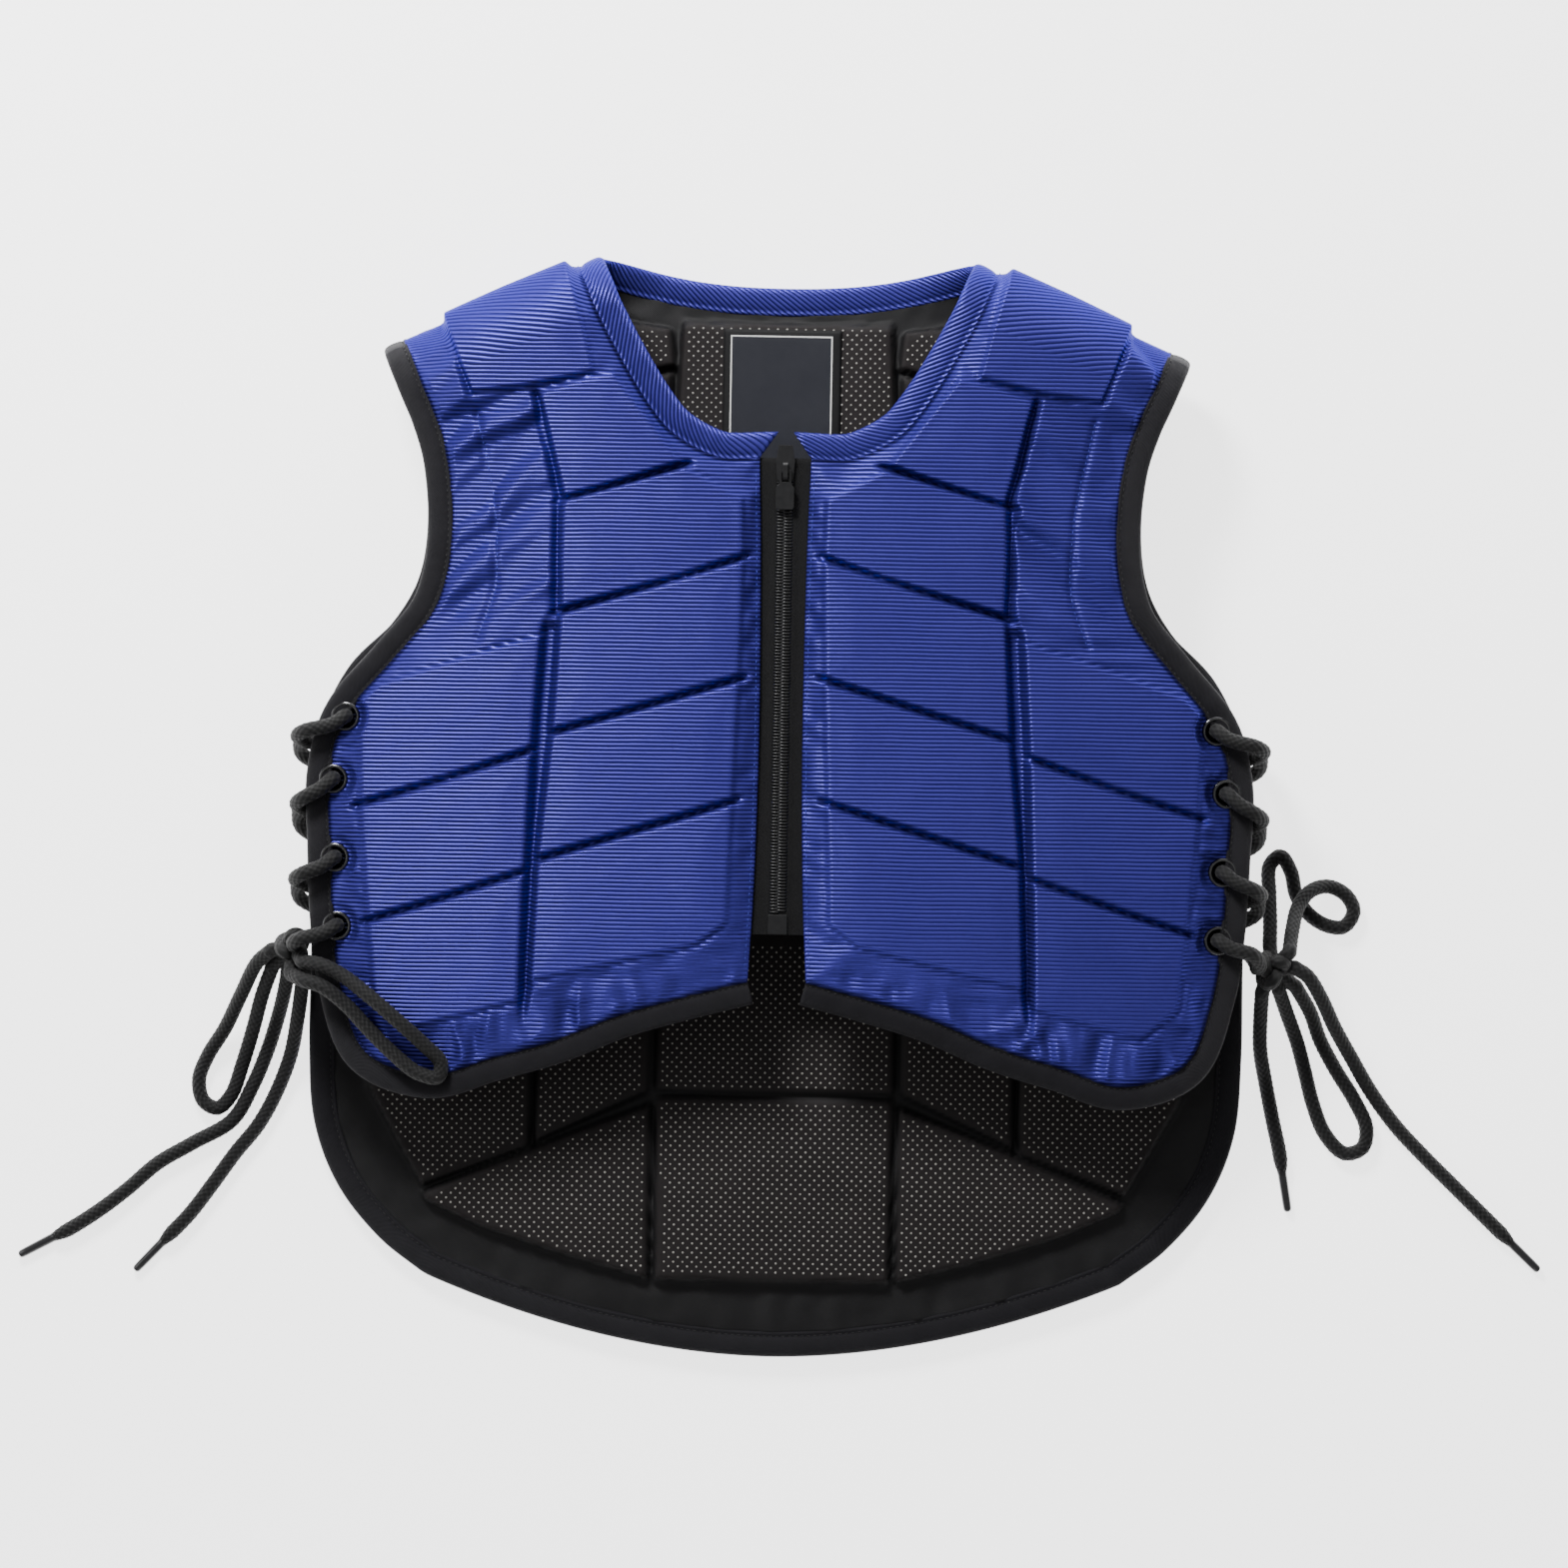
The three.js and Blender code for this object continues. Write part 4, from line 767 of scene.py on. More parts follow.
# Front panels
# Two fronts of the same blue ribbed cloth over foam. The foam is in three columns of blocks with
# grooves pressed between them, and the cloth is drawn down from them to the zip, hem and seams.
ZIP_HALF = 9.5
ZIP_TOP_ROW = 7
HEM_DIP = 15.0
HEM_DIPS = np.array([0, 0.11, 0.29, 0.67, 0.85, 1, 0])
FRONT_BLOCK_RISE = 8.0
FRONT_SEEDS = {1: 20, -1: 60}
FRONT_SPACING = 0.76
FRONT_COLUMNS = 230
FRONT_ROWS = np.array([
    # inner x as a share from zip to neck point, flare of the zip's gap, inner y, outer x, outer y
    (0, 0.28, -0.31, 0.915, -0.448), (0, 0.1, -0.172, 0.972, -0.328), (0, 0, -0.034, 0.992, -0.207),
    (0, -0.05, 0.103, 1, -0.078), (0, -0.05, 0.241, 1.004, 0.052), (0, -0.02, 0.371, 0.968, 0.159),
    (0, 0.03, 0.5, 0.867, 0.259), (0, 0.13, 0.634, 0.782, 0.345), (0.236, 0, 0.634, 0.748, 0.431),
    (0.465, 0, 0.672, 0.742, 0.526), (0.605, 0, 0.724, 0.755, 0.625), (0.758, 0, 0.806, 0.782, 0.698)])
CENTRE_BLOCKS = [
    [(0.395, 0.783, 0.456, 0.966), (0.541, 0.757, 0.602, 0.918), (0.681, 0.743, 0.746, 0.867)],
    [(0.191, 0.624, 0.35, 0.78), (0.33, 0.588, 0.44, 0.765), (0.462, 0.556, 0.524, 0.742)],
    [(0.04, 0.459, 0.044, 0.56), (0.182, 0.42, 0.18, 0.613), (0.468, 0.357, 0.478, 0.546)],
    [(0.045, 0.24, 0.04, 0.449), (0.262, 0.188, 0.25, 0.396), (0.484, 0.136, 0.468, 0.345)],
    [(0.056, 0.018, 0.045, 0.23), (0.284, -0.037, 0.262, 0.179), (0.512, -0.092, 0.484, 0.127)],
    [(0.065, -0.202, 0.056, 0.01), (0.137, -0.242, 0.15, -0.014), (0.524, -0.314, 0.512, -0.101)],
]
SIDE_BLOCKS = [
    [(0.524, 0.106, 0.507, 0.308), (0.725, 0.05, 0.692, 0.264), (0.888, 0.011, 0.885, 0.214),
     (0.927, 0.002, 0.932, 0.18)],
    [(0.535, -0.113, 0.524, 0.097), (0.731, -0.164, 0.725, 0.041), (0.905, -0.206, 0.927, -0.006)],
    [(0.546, -0.349, 0.537, -0.121), (0.8, -0.403, 0.731, -0.172), (0.888, -0.345, 0.905, -0.214)],
]
centre_outlines = [block_outline(ribs, ZIP_HALF) for ribs in CENTRE_BLOCKS]
side_outlines = [block_outline(ribs, ZIP_HALF) for ribs in SIDE_BLOCKS]
shoulder_seam = np.array([(129, 164), (121, 125), (120, 92), (127, 70)], float)
column_slit = np.array([(104.5, 172), (94, 130), (94.6, 104), (94.4, 81)], float)
EYELETS = np.array([(0.97, 0.156), (0.995, 0.043), (0.989, -0.099), (0.982, -0.222)])
EYELET_HOLE = 4.65
EYELET_OUTER = 6.25
PRESSED_RISE = 1.45
eyelet_x, eyelet_y = EYELETS[:, 0] * HALF_WIDTH, EYELETS[:, 1] * HALF_LENGTH


def front_controls():
    rows = []
    for share, flare, in_y, out_x, out_y in FRONT_ROWS:
        inner = (ZIP_HALF * (1 + flare) + share * (NECK_POINT[0] - ZIP_HALF), in_y * HALF_LENGTH)
        rows.append((inner, (out_x * HALF_WIDTH, out_y * HALF_LENGTH)))
    for turned in FOLD_TURNS:
        inwards = fold_normal * FOLD_RADIUS * (1 - turned)
        rows.append((NECK_POINT - inwards, ARM_POINT - inwards))
    shares = np.linspace(0, 1, len(HEM_DIPS))[:, None]
    grid = np.array([np.array(a) + (np.array(b) - np.array(a)) * shares for a, b in rows])
    grid[0, :, 1] -= HEM_DIP * HEM_DIPS
    grid[1, :, 1] -= 0.3 * HEM_DIP * HEM_DIPS
    return grid


def front_plan(spacing, columns):
    """A fine grid over one front, smooth along both ways apart from the zip's top corner."""
    grid = front_controls()
    below = 2 * grid[0] - grid[1]
    below[-1] = grid[0, -2]
    grid = np.concatenate([[below], grid])
    t = np.linspace(0, grid.shape[1] - 1, columns)
    fine = []
    for r, row in enumerate(grid):
        after = grid[2, -1] if r == 1 else None
        fine.append(catmull(row, t, after=after))
    below, fine = fine[0], np.array(fine[1:])
    turn_up = 2 * fine[ZIP_TOP_ROW] - fine[ZIP_TOP_ROW - 1]
    turn_down = 2 * fine[ZIP_TOP_ROW] - fine[ZIP_TOP_ROW + 1]
    loose = np.clip(t, 0, 1)[:, None]
    turn_up = turn_up * (1 - loose) + fine[ZIP_TOP_ROW + 1] * loose
    turn_down = turn_down * (1 - loose) + fine[ZIP_TOP_ROW - 1] * loose
    low, high = fine[:ZIP_TOP_ROW + 1], fine[ZIP_TOP_ROW:]
    under = catmull(low, row_steps(low, spacing), before=below, after=turn_up)
    over = catmull(high, row_steps(high, spacing), before=turn_down)
    return np.concatenate([under, over[1:]]), len(under) - 1


def groove_lines(blocks):
    """The line between each block and the next below it, from the zip side outwards."""
    lines = []
    for above, below in zip(blocks, blocks[1:]):
        ends = []
        for foot in (above[0], above[-1]):
            head = min(below, key=lambda rib: abs(rib[2] - foot[0]))
            ends.append(((foot[0] + head[2]) / 2, (foot[1] + head[3]) / 2))
        lines.append(np.array(ends) * (HALF_WIDTH - ZIP_HALF, HALF_LENGTH) + (ZIP_HALF, 0))
    return lines


GROOVES = groove_lines(CENTRE_BLOCKS) + groove_lines(SIDE_BLOCKS)
GROOVE_WIDTH = 1.0
SHOULDER_GROOVE_SHARE = 0.25
GROOVE_RUNOUT = 6.0
GROOVE_FLOOR = 0.9
ARM_FOLD_LEAN = math.radians(33)
SEAM_DIP, SEAM_HALF = 1.0, 1.6
SLIT_DIP, SLIT_HALF = 4.2, 1.5
# The wide channel between the two columns: x, y and half its width, from the top
CHANNEL = np.array([(96.2, 78, 2.6), (96.6, 70, 3.2), (99.2, 24, 3.4), (102.8, -22, 2.0), (105.0, -72, 1.8),
                    (105.6, -84, 1.0), (106.0, -92, 0.2)])


def groove_depth(places):
    """1 in the middle of a groove between two blocks, fading out past the blocks' edges."""
    deep = np.zeros(len(places))
    for number, (start, end) in enumerate(GROOVES):
        share = 1 if number else SHOULDER_GROOVE_SHARE
        length = np.linalg.norm(end - start)
        run = (end - start) / length
        along = (places - start) @ run
        off = (places - start) @ np.array([-run[1], run[0]])
        beyond = np.maximum(np.maximum(-along, along - length), 0)
        fade = 1 - smoothstep(beyond, 0, GROOVE_RUNOUT)
        deep = np.maximum(deep, share * fade * np.exp(-(off / (GROOVE_WIDTH + 0.04 * beyond)) ** 2))
    return deep


def channel_depth(places):
    """1 on the floor of the channel between the centre and side columns."""
    x, y = places[:, 0], places[:, 1]
    down = CHANNEL[::-1]
    middle = np.interp(y, down[:, 1], down[:, 0])
    half = np.interp(y, down[:, 1], down[:, 2])
    ends = smoothstep(y, -95, -74) * (1 - smoothstep(y, 72, 80))
    return ends * (1 - smoothstep(np.abs(x - middle), half - 0.4, half + 1.3))


def ridged(u, v, seed):
    """Bumps with soft crests and sharper valleys, as in cloth that is pushed together."""
    return 1 - 2 * np.abs(noise(u, v, seed)) ** 0.8


def front_rise(places, rim, seed):
    """Height of the front's face above the middle of its wall: blocks, grooves and drawn cloth."""
    x, y = places[:, 0], places[:, 1]
    centre = depth_in_blocks(places, centre_outlines)
    side = depth_in_blocks(places, side_outlines)
    depth = np.maximum(centre, side)
    groove = groove_depth(places)
    tucked = np.maximum(groove, channel_depth(places))
    rim_distance = line_distance(places, rim, closed=True)
    drawn = rim_distance / np.maximum(rim_distance + np.maximum(-depth, 0), 1e-6)
    slope = HALF_WALL + 0.5 + (FRONT_BLOCK_RISE - HALF_WALL - 1.4) * drawn ** 1.1
    arm = smoothstep(y, 60, 88) * smoothstep(x, 86, 98)
    hem = 1 - smoothstep(y + 0.14 * x, -80, -56)
    flank = smoothstep(x, 160, 172) * (1 - arm) * (1 - hem)
    slope = slope * (1 - 0.14 * arm)
    c, s = math.cos(ARM_FOLD_LEAN), math.sin(ARM_FOLD_LEAN)
    across_fold = x * s + y * c
    along_fold = -x * c + y * s
    warp = 0.8 * noise(x / 21, y / 21, seed + 7)
    crumple = 3.4 * arm * noise(across_fold / 9.5 + 0.4 * warp, along_fold / 60, seed)
    crumple += 0.8 * arm * noise(across_fold / 5 - 0.5 * warp, along_fold / 30, seed + 1)
    crumple += 2.2 * hem * ridged(x / 10 + warp, y / 40 + x / 90, seed + 2)
    crumple += 1.3 * hem * noise(x / 4.6 - warp, y / 24 + x / 50, seed + 3)
    crumple += 1.9 * flank * noise(y / 4.6 + x / 30, x / 10, seed + 4)
    rest = (1 - arm) * (1 - hem) * (1 - flank)
    crumple += 1.1 * rest * noise(y / 5.0, x / 12, seed + 5)
    free = smoothstep(-depth, 0.2, 3.5) * smoothstep(rim_distance, 0, 4)
    floor = slope + crumple * free * (1 - tucked)
    floor -= 0.5 * np.exp(-((depth + 0.9) / 0.8) ** 2)
    floor = floor * (1 - tucked) + GROOVE_FLOOR * tucked
    face = FRONT_BLOCK_RISE * block_profile(depth) + 0.5 * smoothstep(depth, 1, 14)
    face += 0.15 * noise(x / 24, y / 18, seed + 6) * smoothstep(depth, 1, 6)
    rise = np.maximum(face, floor)
    rise -= SEAM_DIP * np.exp(-(line_distance(places, shoulder_seam) / SEAM_HALF) ** 2)
    rise -= SLIT_DIP * np.exp(-(line_distance(places, column_slit) / SLIT_HALF) ** 2)
    low = np.minimum(HALF_WALL, 0.5 + 0.8 * rim_distance)
    return np.maximum(rise, low)


def rim_of(plan):
    return np.concatenate([plan[0, :-1], plan[:-1, -1], plan[-1, :0:-1], plan[:0:-1, 0]])


FRONT_PLAN, FRONT_TOP_ROW = front_plan(FRONT_SPACING, FRONT_COLUMNS)


def blurred(grid):
    """Takes the steps out of edges that run aslant across the grid."""
    for _ in range(2):
        soft = grid.copy()
        soft[1:-1] = (grid[:-2] + 2 * grid[1:-1] + grid[2:]) / 4
        grid = soft.copy()
        grid[:, 1:-1] = (soft[:, :-2] + 2 * soft[:, 1:-1] + soft[:, 2:]) / 4
    return grid


def make_front(side, name):
    """One front: 1 for the right, -1 for the left, which is mirrored but has folds of its own."""
    plan = FRONT_PLAN
    x, y = plan[..., 0], plan[..., 1]
    places = plan.reshape(-1, 2)
    rise = blurred(front_rise(places, rim_of(plan)[::4], FRONT_SEEDS[side]).reshape(x.shape))
    ring_gap = np.min([np.hypot(x - ex, y - ey) for ex, ey in zip(eyelet_x, eyelet_y)], axis=0)
    pressed = 1 - smoothstep(ring_gap, EYELET_OUTER + 0.4, EYELET_OUTER + 4.6)
    rise = rise * (1 - pressed) + np.minimum(rise, PRESSED_RISE) * pressed
    # Inside each eyelet the cloth is sunk to a thin sheet that the material paints near black as painted
    # shade in the hole.
    hole_painted_shade = 1 - smoothstep(ring_gap, EYELET_HOLE + 0.2, EYELET_HOLE + 1.0)
    rise = rise * (1 - hole_painted_shade) + 0.15 * hole_painted_shade
    point, normal = front_skin(x, y)
    outer = point + normal * rise[..., None]
    inner = point - normal * (HALF_WALL * (1 - hole_painted_shade) + 0.1 * hole_painted_shade)[..., None]
    bound = np.concatenate([plan[:-8:3, -1][::-1], plan[0, ::-3]])
    seam = np.minimum(line_distance(places, bound), line_distance(places, plan[FRONT_TOP_ROW:-8:3, 0]))
    # Painted shade: a dark line along the rim where the cloth runs under the bindings and the neck band.
    seam_shade = 0.7 * (1 - smoothstep(seam.reshape(x.shape), 0.9, 1.9))
    uv = cloth_place(x, y)
    marks = {"hole_painted_shade": np.maximum(hole_painted_shade, seam_shade), "pad": np.ones(x.shape)}
    if side < 0:
        outer, inner = (np.flip(grid * (-1, 1, 1), 1) for grid in (outer, inner))
        uv = np.flip(uv * (-1, 1), 1)
        marks = {key: np.flip(value, 1) for key, value in marks.items()}
    front = padded_wall(name, outer, inner, uv, 4, [SHELL, LINING], marks)
    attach(front, "vest")
    return front


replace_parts(make_front(1, "front_padding_right"), "front_panel_right")
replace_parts(make_front(-1, "front_padding_left"), "front_panel_left")

# Edge bindings
# Black satin strip folded over the raw edges of the sides, armholes, tail and front hem, and sewn
# through near its inner edge.
BINDING_WIDTH = 9.8
BINDING_HALF = 1.8
BINDING_OVERLAP = 1.0


def binding_cloth():
    """Black satin twill with a soft, uneven hand."""
    material, tree, shader = new_material("binding_cloth", {"Roughness": 0.62, "Specular IOR Level": 0.12})
    across, along = uv_axes(tree)
    place = object_place(tree)
    twill = wave(tree, math_node(tree, "ADD", across, along), 0.75 * MM)
    cloud = noise_at(tree, place, 90.0, 3.0)
    colour = mixed_colour(tree, cloud, (0.011, 0.0105, 0.0125), (0.017, 0.0165, 0.0195))
    tree.links.new(colour, shader.inputs["Base Color"])
    soft = math_node(tree, "MULTIPLY", noise_at(tree, place, 300.0), 1.5)
    add_bump(tree, shader, math_node(tree, "ADD", twill, soft), 0.07 * MM)
    return material


BINDING = binding_cloth()


def edge_frame(edge, normal, inside):
    """Directions that point away from the panel along its edge."""
    along = unit(np.gradient(edge, axis=0))
    outwards = unit(np.cross(along, normal))
    middle = len(edge) // 2
    if outwards[middle] @ (edge[middle] - inside) < 0:
        outwards = -outwards
    return outwards


def strip_profile(start, end, half):
    """A folded strip's section: flat on both faces, rolled at its outer edge, with a sewn dip."""
    width = end - start
    u = np.array([0, 0.03, 0.08, 0.13, 0.18, 0.23, 0.3, 0.42, 0.56, 0.7, 0.82, 0.91, 0.965, 1.0])
    h = np.array([0.72, 1.0, 1.08, 0.98, 0.8, 0.92, 1.06, 1.14, 1.16, 1.12, 1.0, 0.78, 0.46, 0.0])
    top = np.stack([start + u * width, h * half], 1)
    return np.concatenate([top, (top * (1, -1))[-2::-1]])


def sweep(name, edge, outwards, normal, profile, material, seed, shift=None):
    """Carries a closed section along an edge and closes both ends."""
    count, sides = len(edge), len(profile)
    run = run_along(edge)
    slack = 1 + 0.07 * noise(run / 7, run * 0, seed) + 0.04 * noise(run / 2.6, run * 0, seed + 1)
    out = np.tile(profile[:, 0], (count, 1))
    lift = profile[:, 1] * slack[:, None]
    points = edge[:, None] + outwards[:, None] * out[..., None] + normal[:, None] * lift[..., None]
    if shift is not None:
        points = points + shift[:, None] * (profile[:, 0] / profile[:, 0].max())[None, :, None]
    girth = run_along(profile)
    faces, uv = [], []
    last = girth[-1] + np.linalg.norm(profile[0] - profile[-1])
    for r in range(count - 1):
        for c in range(sides):
            d = (c + 1) % sides
            faces.append((r * sides + c, (r + 1) * sides + c, (r + 1) * sides + d, r * sides + d))
            g, h = girth[c], girth[d] if d else last
            uv += [(g, run[r]), (g, run[r + 1]), (h, run[r + 1]), (h, run[r])]
    faces.append(tuple(range(sides)))
    faces.append(tuple((count - 1) * sides + c for c in range(sides))[::-1])
    uv += [(g, 0) for g in girth] + [(g, run[-1]) for g in girth[::-1]]
    made = new_object(name, points.reshape(-1, 3) * MM, faces, [material], np.array(uv) * MM)
    outward_faces(made)
    return made


def outward_faces(piece):
    """Turns every face of a closed piece to point outwards."""
    shape = bmesh.new()
    shape.from_mesh(piece.data)
    bmesh.ops.recalc_face_normals(shape, faces=shape.faces)
    shape.to_mesh(piece.data)
    shape.free()


def thin_out(points, spacing):
    """Keeps points of a fine edge that lie about so far apart."""
    run = run_along(points)
    wanted = np.linspace(0, run[-1], int(run[-1] / spacing) + 1)
    return np.unique(np.searchsorted(run, wanted).clip(0, len(points) - 1))


def soften(vectors, times):
    for _ in range(times):
        vectors[1:-1] = (vectors[:-2] + 2 * vectors[1:-1] + vectors[2:]) / 4
    return unit(vectors)


def mirrored(points):
    return points * (-1, 1, 1)


front_side_plan = np.concatenate([FRONT_PLAN[::-1, -1], FRONT_PLAN[0, -2::-1]])
front_side_plan = front_side_plan[thin_out(front_side_plan, 1.6)]
front_side, front_side_up = front_skin(front_side_plan[:, 0], front_side_plan[:, 1])
front_side_out = soften(edge_frame(front_side, front_side_up, np.array([90, 0, 48])), 3)

back_controls = back_place(np.linspace(-1, 1, BACK_COLUMNS))
back_fine = catmull(back_controls, row_steps(back_controls, 1.6))
back_side_plan = np.concatenate([back_fine[::-1, -1], back_fine[0, -2::-1], back_fine[1:, 0]])
back_side_plan = back_side_plan[thin_out(back_side_plan, 1.8)]
back_side, back_side_up = back_skin(back_side_plan[:, 0], back_side_plan[:, 1])
back_side_out = soften(edge_frame(back_side, back_side_up, np.array([0, 0, 6])), 3)
binding_section = strip_profile(-BINDING_OVERLAP, BINDING_WIDTH, BINDING_HALF)


def bind_edges():
    pieces = {
        "front_binding_right": (front_side, front_side_out, front_side_up, 31),
        "front_binding_left": tuple(mirrored(v) for v in (front_side, front_side_out, front_side_up)) + (37,),
        "back_binding": (back_side, back_side_out, back_side_up, 43),
    }
    for node, (edge, out, up, seed) in pieces.items():
        strip = sweep(f"edge_{node}", edge, out, up, binding_section, BINDING, seed)
        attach(strip, "vest")
        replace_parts(strip, node)


bind_edges()

# Neck band
# A bias strip of the blue cloth folded over the neck edge, so its ribs run aslant. It goes right round
# the neck, and its two front ends slant and nearly meet over the zip.
BAND_WIDTH = 11.0
BAND_HALF = 1.75
BAND_OVERLAP = 0.9
BAND_BIAS = math.radians(52)
BAND_END = 3.2
BAND_SLANT = 14.0


def make_band():
    """The fold over the front and back neck edges, with the cloth turned to the bias."""
    front = FRONT_PLAN[FRONT_TOP_ROW:-1, 0]
    point, up = front_skin(front[:, 0], front[:, 1])
    shares = np.linspace(neck_share, -neck_share, 110)
    top = back_place(shares)[-1]
    back_point, back_up = back_skin(top[:, 0], top[:, 1])
    back_point[[0, -1], 2] = SEAM_HEIGHT
    edge = np.concatenate([point, back_point, mirrored(point)[::-1]])
    normal = np.concatenate([up, back_up, mirrored(up)[::-1]])
    keep = thin_out(edge, 1.5)
    edge, normal = edge[keep], unit(normal[keep])
    along = unit(np.gradient(edge, axis=0))
    outwards = unit(np.cross(along, normal))
    if outwards[len(edge) // 2][1] < 0:
        outwards = -outwards
    outwards = soften(outwards, 5)
    normal = unit(np.cross(outwards, along))
    if normal[4][2] < 0:
        normal = -normal
    run = run_along(edge)
    end_x = (edge[0] + outwards[0] * BAND_WIDTH)[0]
    near = np.maximum(0, 1 - run / BAND_SLANT)
    near_end = np.maximum(0, 1 - (run[-1] - run) / BAND_SLANT)
    shift = np.zeros((len(edge), 3))
    pull = BAND_END - end_x
    shift[:, 0] = pull * near - pull * near_end
    section = strip_profile(-BAND_OVERLAP, BAND_WIDTH, BAND_HALF)
    band = sweep("neck_band_fold", edge, outwards, normal, section, SHELL, 51, shift)
    layer = band.data.uv_layers["UVMap"]
    uv = np.zeros(2 * len(layer.data), np.float32)
    layer.data.foreach_get("uv", uv)
    uv = uv.reshape(-1, 2)
    c, s = math.cos(BAND_BIAS), math.sin(BAND_BIAS)
    turned = np.stack([uv[:, 0] * c - uv[:, 1] * s, uv[:, 0] * s + uv[:, 1] * c], 1)
    layer.data.foreach_set("uv", turned.astype(np.float32).ravel())
    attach(band, "vest")
    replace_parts(band, "neck_band")


make_band()

# Label
# A dark woven patch sewn on the lining at the back of the neck, bare but for a thin pale border line.
LABEL_X = (-27.0, 23.0)
LABEL_Y = (143.5, 203.5)
LABEL_BOTTOM = 13.0
LABEL_TOP = 13.9
LABEL_FRAME = (-23.8 * MM, 18.8 * MM, 200.6 * MM)
LABEL_LINE_HALF = 0.3 * MM


def label_cloth():
    """Slate cloth with a black rim, and three pale lines between them: left, right and top."""
    material, tree, shader = new_material("label_cloth", {"Roughness": 0.62, "Specular IOR Level": 0.2})
    place = object_place(tree)
    x, y = plane_axes(tree, place)
    left, right, top = LABEL_FRAME
    half = LABEL_LINE_HALF
    lines = []
    for at in (left, right):
        gap = math_node(tree, "ABSOLUTE", math_node(tree, "SUBTRACT", x, at))
        lines.append(math_node(tree, "MULTIPLY", math_node(tree, "LESS_THAN", gap, half),
                               math_node(tree, "LESS_THAN", y, top + half)))
    gap = math_node(tree, "ABSOLUTE", math_node(tree, "SUBTRACT", y, top))
    centred = math_node(tree, "ABSOLUTE", math_node(tree, "SUBTRACT", x, (left + right) / 2))
    lines.append(math_node(tree, "MULTIPLY", math_node(tree, "LESS_THAN", gap, half),
                           math_node(tree, "LESS_THAN", centred, (right - left) / 2 + half)))
    line = math_node(tree, "MAXIMUM", math_node(tree, "MAXIMUM", lines[0], lines[1]), lines[2])
    inside = math_node(tree, "MULTIPLY", math_node(tree, "LESS_THAN", centred, (right - left) / 2),
                       math_node(tree, "LESS_THAN", y, top))
    cloud = noise_at(tree, place, 200.0, 3.0)
    slate = mixed_colour(tree, cloud, (0.015, 0.016, 0.022), (0.019, 0.020, 0.027))
    patch = mixed_colour(tree, inside, (0.006, 0.006, 0.0065), slate)
    tree.links.new(mixed_colour(tree, line, patch, (0.72, 0.72, 0.7)), shader.inputs["Base Color"])
    add_bump(tree, shader, woven(tree, (x, y), 0.6 * MM, 0.6 * MM), 0.03 * MM)
    return material


def make_label():
    """A thin patch that is turned under at its edges and sewn down inside them."""
    xs = np.linspace(*LABEL_X, 40)
    ys = np.linspace(*LABEL_Y, 44)
    y, x = np.meshgrid(ys, xs, indexing="ij")
    lift = LABEL_TOP + 0.22 * noise(x / 14, y / 16, 71)
    edge = np.minimum.reduce([x - LABEL_X[0], LABEL_X[1] - x, y - LABEL_Y[0], LABEL_Y[1] - y])
    lift = lift - 0.45 * np.exp(-edge / 0.8) - 0.3 * np.exp(-((edge - 2.2) / 0.5) ** 2)
    top = np.stack([x, y, lift], -1)
    bottom = np.stack([x, y, np.full(x.shape, LABEL_BOTTOM)], -1)
    uv = np.stack([x, y], -1)
    cloth = label_cloth()
    label = padded_wall("label_patch", top, bottom, uv, 3, [cloth, cloth], {})
    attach(label, "vest")
    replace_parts(label, "neck_label")


make_label()

# Zip
# A black coil zip sewn between the fronts: woven tapes, two rows of interlocked coil, a pin box at
# the bottom and an enamelled slider with a flat pull that turns on the slider's bridge.
ZIP_BOTTOM_Y = -52.0
COIL_BOTTOM_Y = -43.3
SLIDER_BOTTOM_Y = 137.5
TOOTH_PITCH = 1.3
# The tape's lengthwise lines, from under the coil to where it meets the front
TAPE_X = (0.35, 1.2, 2.4, 3.6, 4.3, 5.2, 6.2)


def tape_cloth():
    material, tree, shader = new_material("tape_cloth", {"Roughness": 0.8, "Specular IOR Level": 0.25})
    cloud = noise_at(tree, object_place(tree), 120.0, 2.0)
    colour = mixed_colour(tree, cloud, (0.0025, 0.0025, 0.0027), (0.006, 0.006, 0.0065))
    tree.links.new(colour, shader.inputs["Base Color"])
    add_bump(tree, shader, woven(tree, uv_axes(tree), 0.9 * MM, 0.7 * MM), 0.1 * MM)
    return material


def clouded(name, scale, detail, low, high, relief, settings):
    """A finish of two close colours in fine clouds, which also raise it a little."""
    material, tree, shader = new_material(name, settings)
    cloud = noise_at(tree, object_place(tree), scale, detail)
    tree.links.new(mixed_colour(tree, cloud, low, high), shader.inputs["Base Color"])
    add_bump(tree, shader, cloud, relief)
    return material


TAPE = tape_cloth()
ENAMEL = clouded("black_enamel", 420.0, 4.0, (0.006, 0.006, 0.007), (0.02, 0.02, 0.021), 0.04 * MM,
                 {"Roughness": 0.3, "Metallic": 0.2})
COIL = clouded("coil_nylon", 700.0, 2.0, (0.003, 0.003, 0.0034), (0.010, 0.010, 0.011), 0.03 * MM,
               {"Roughness": 0.38})


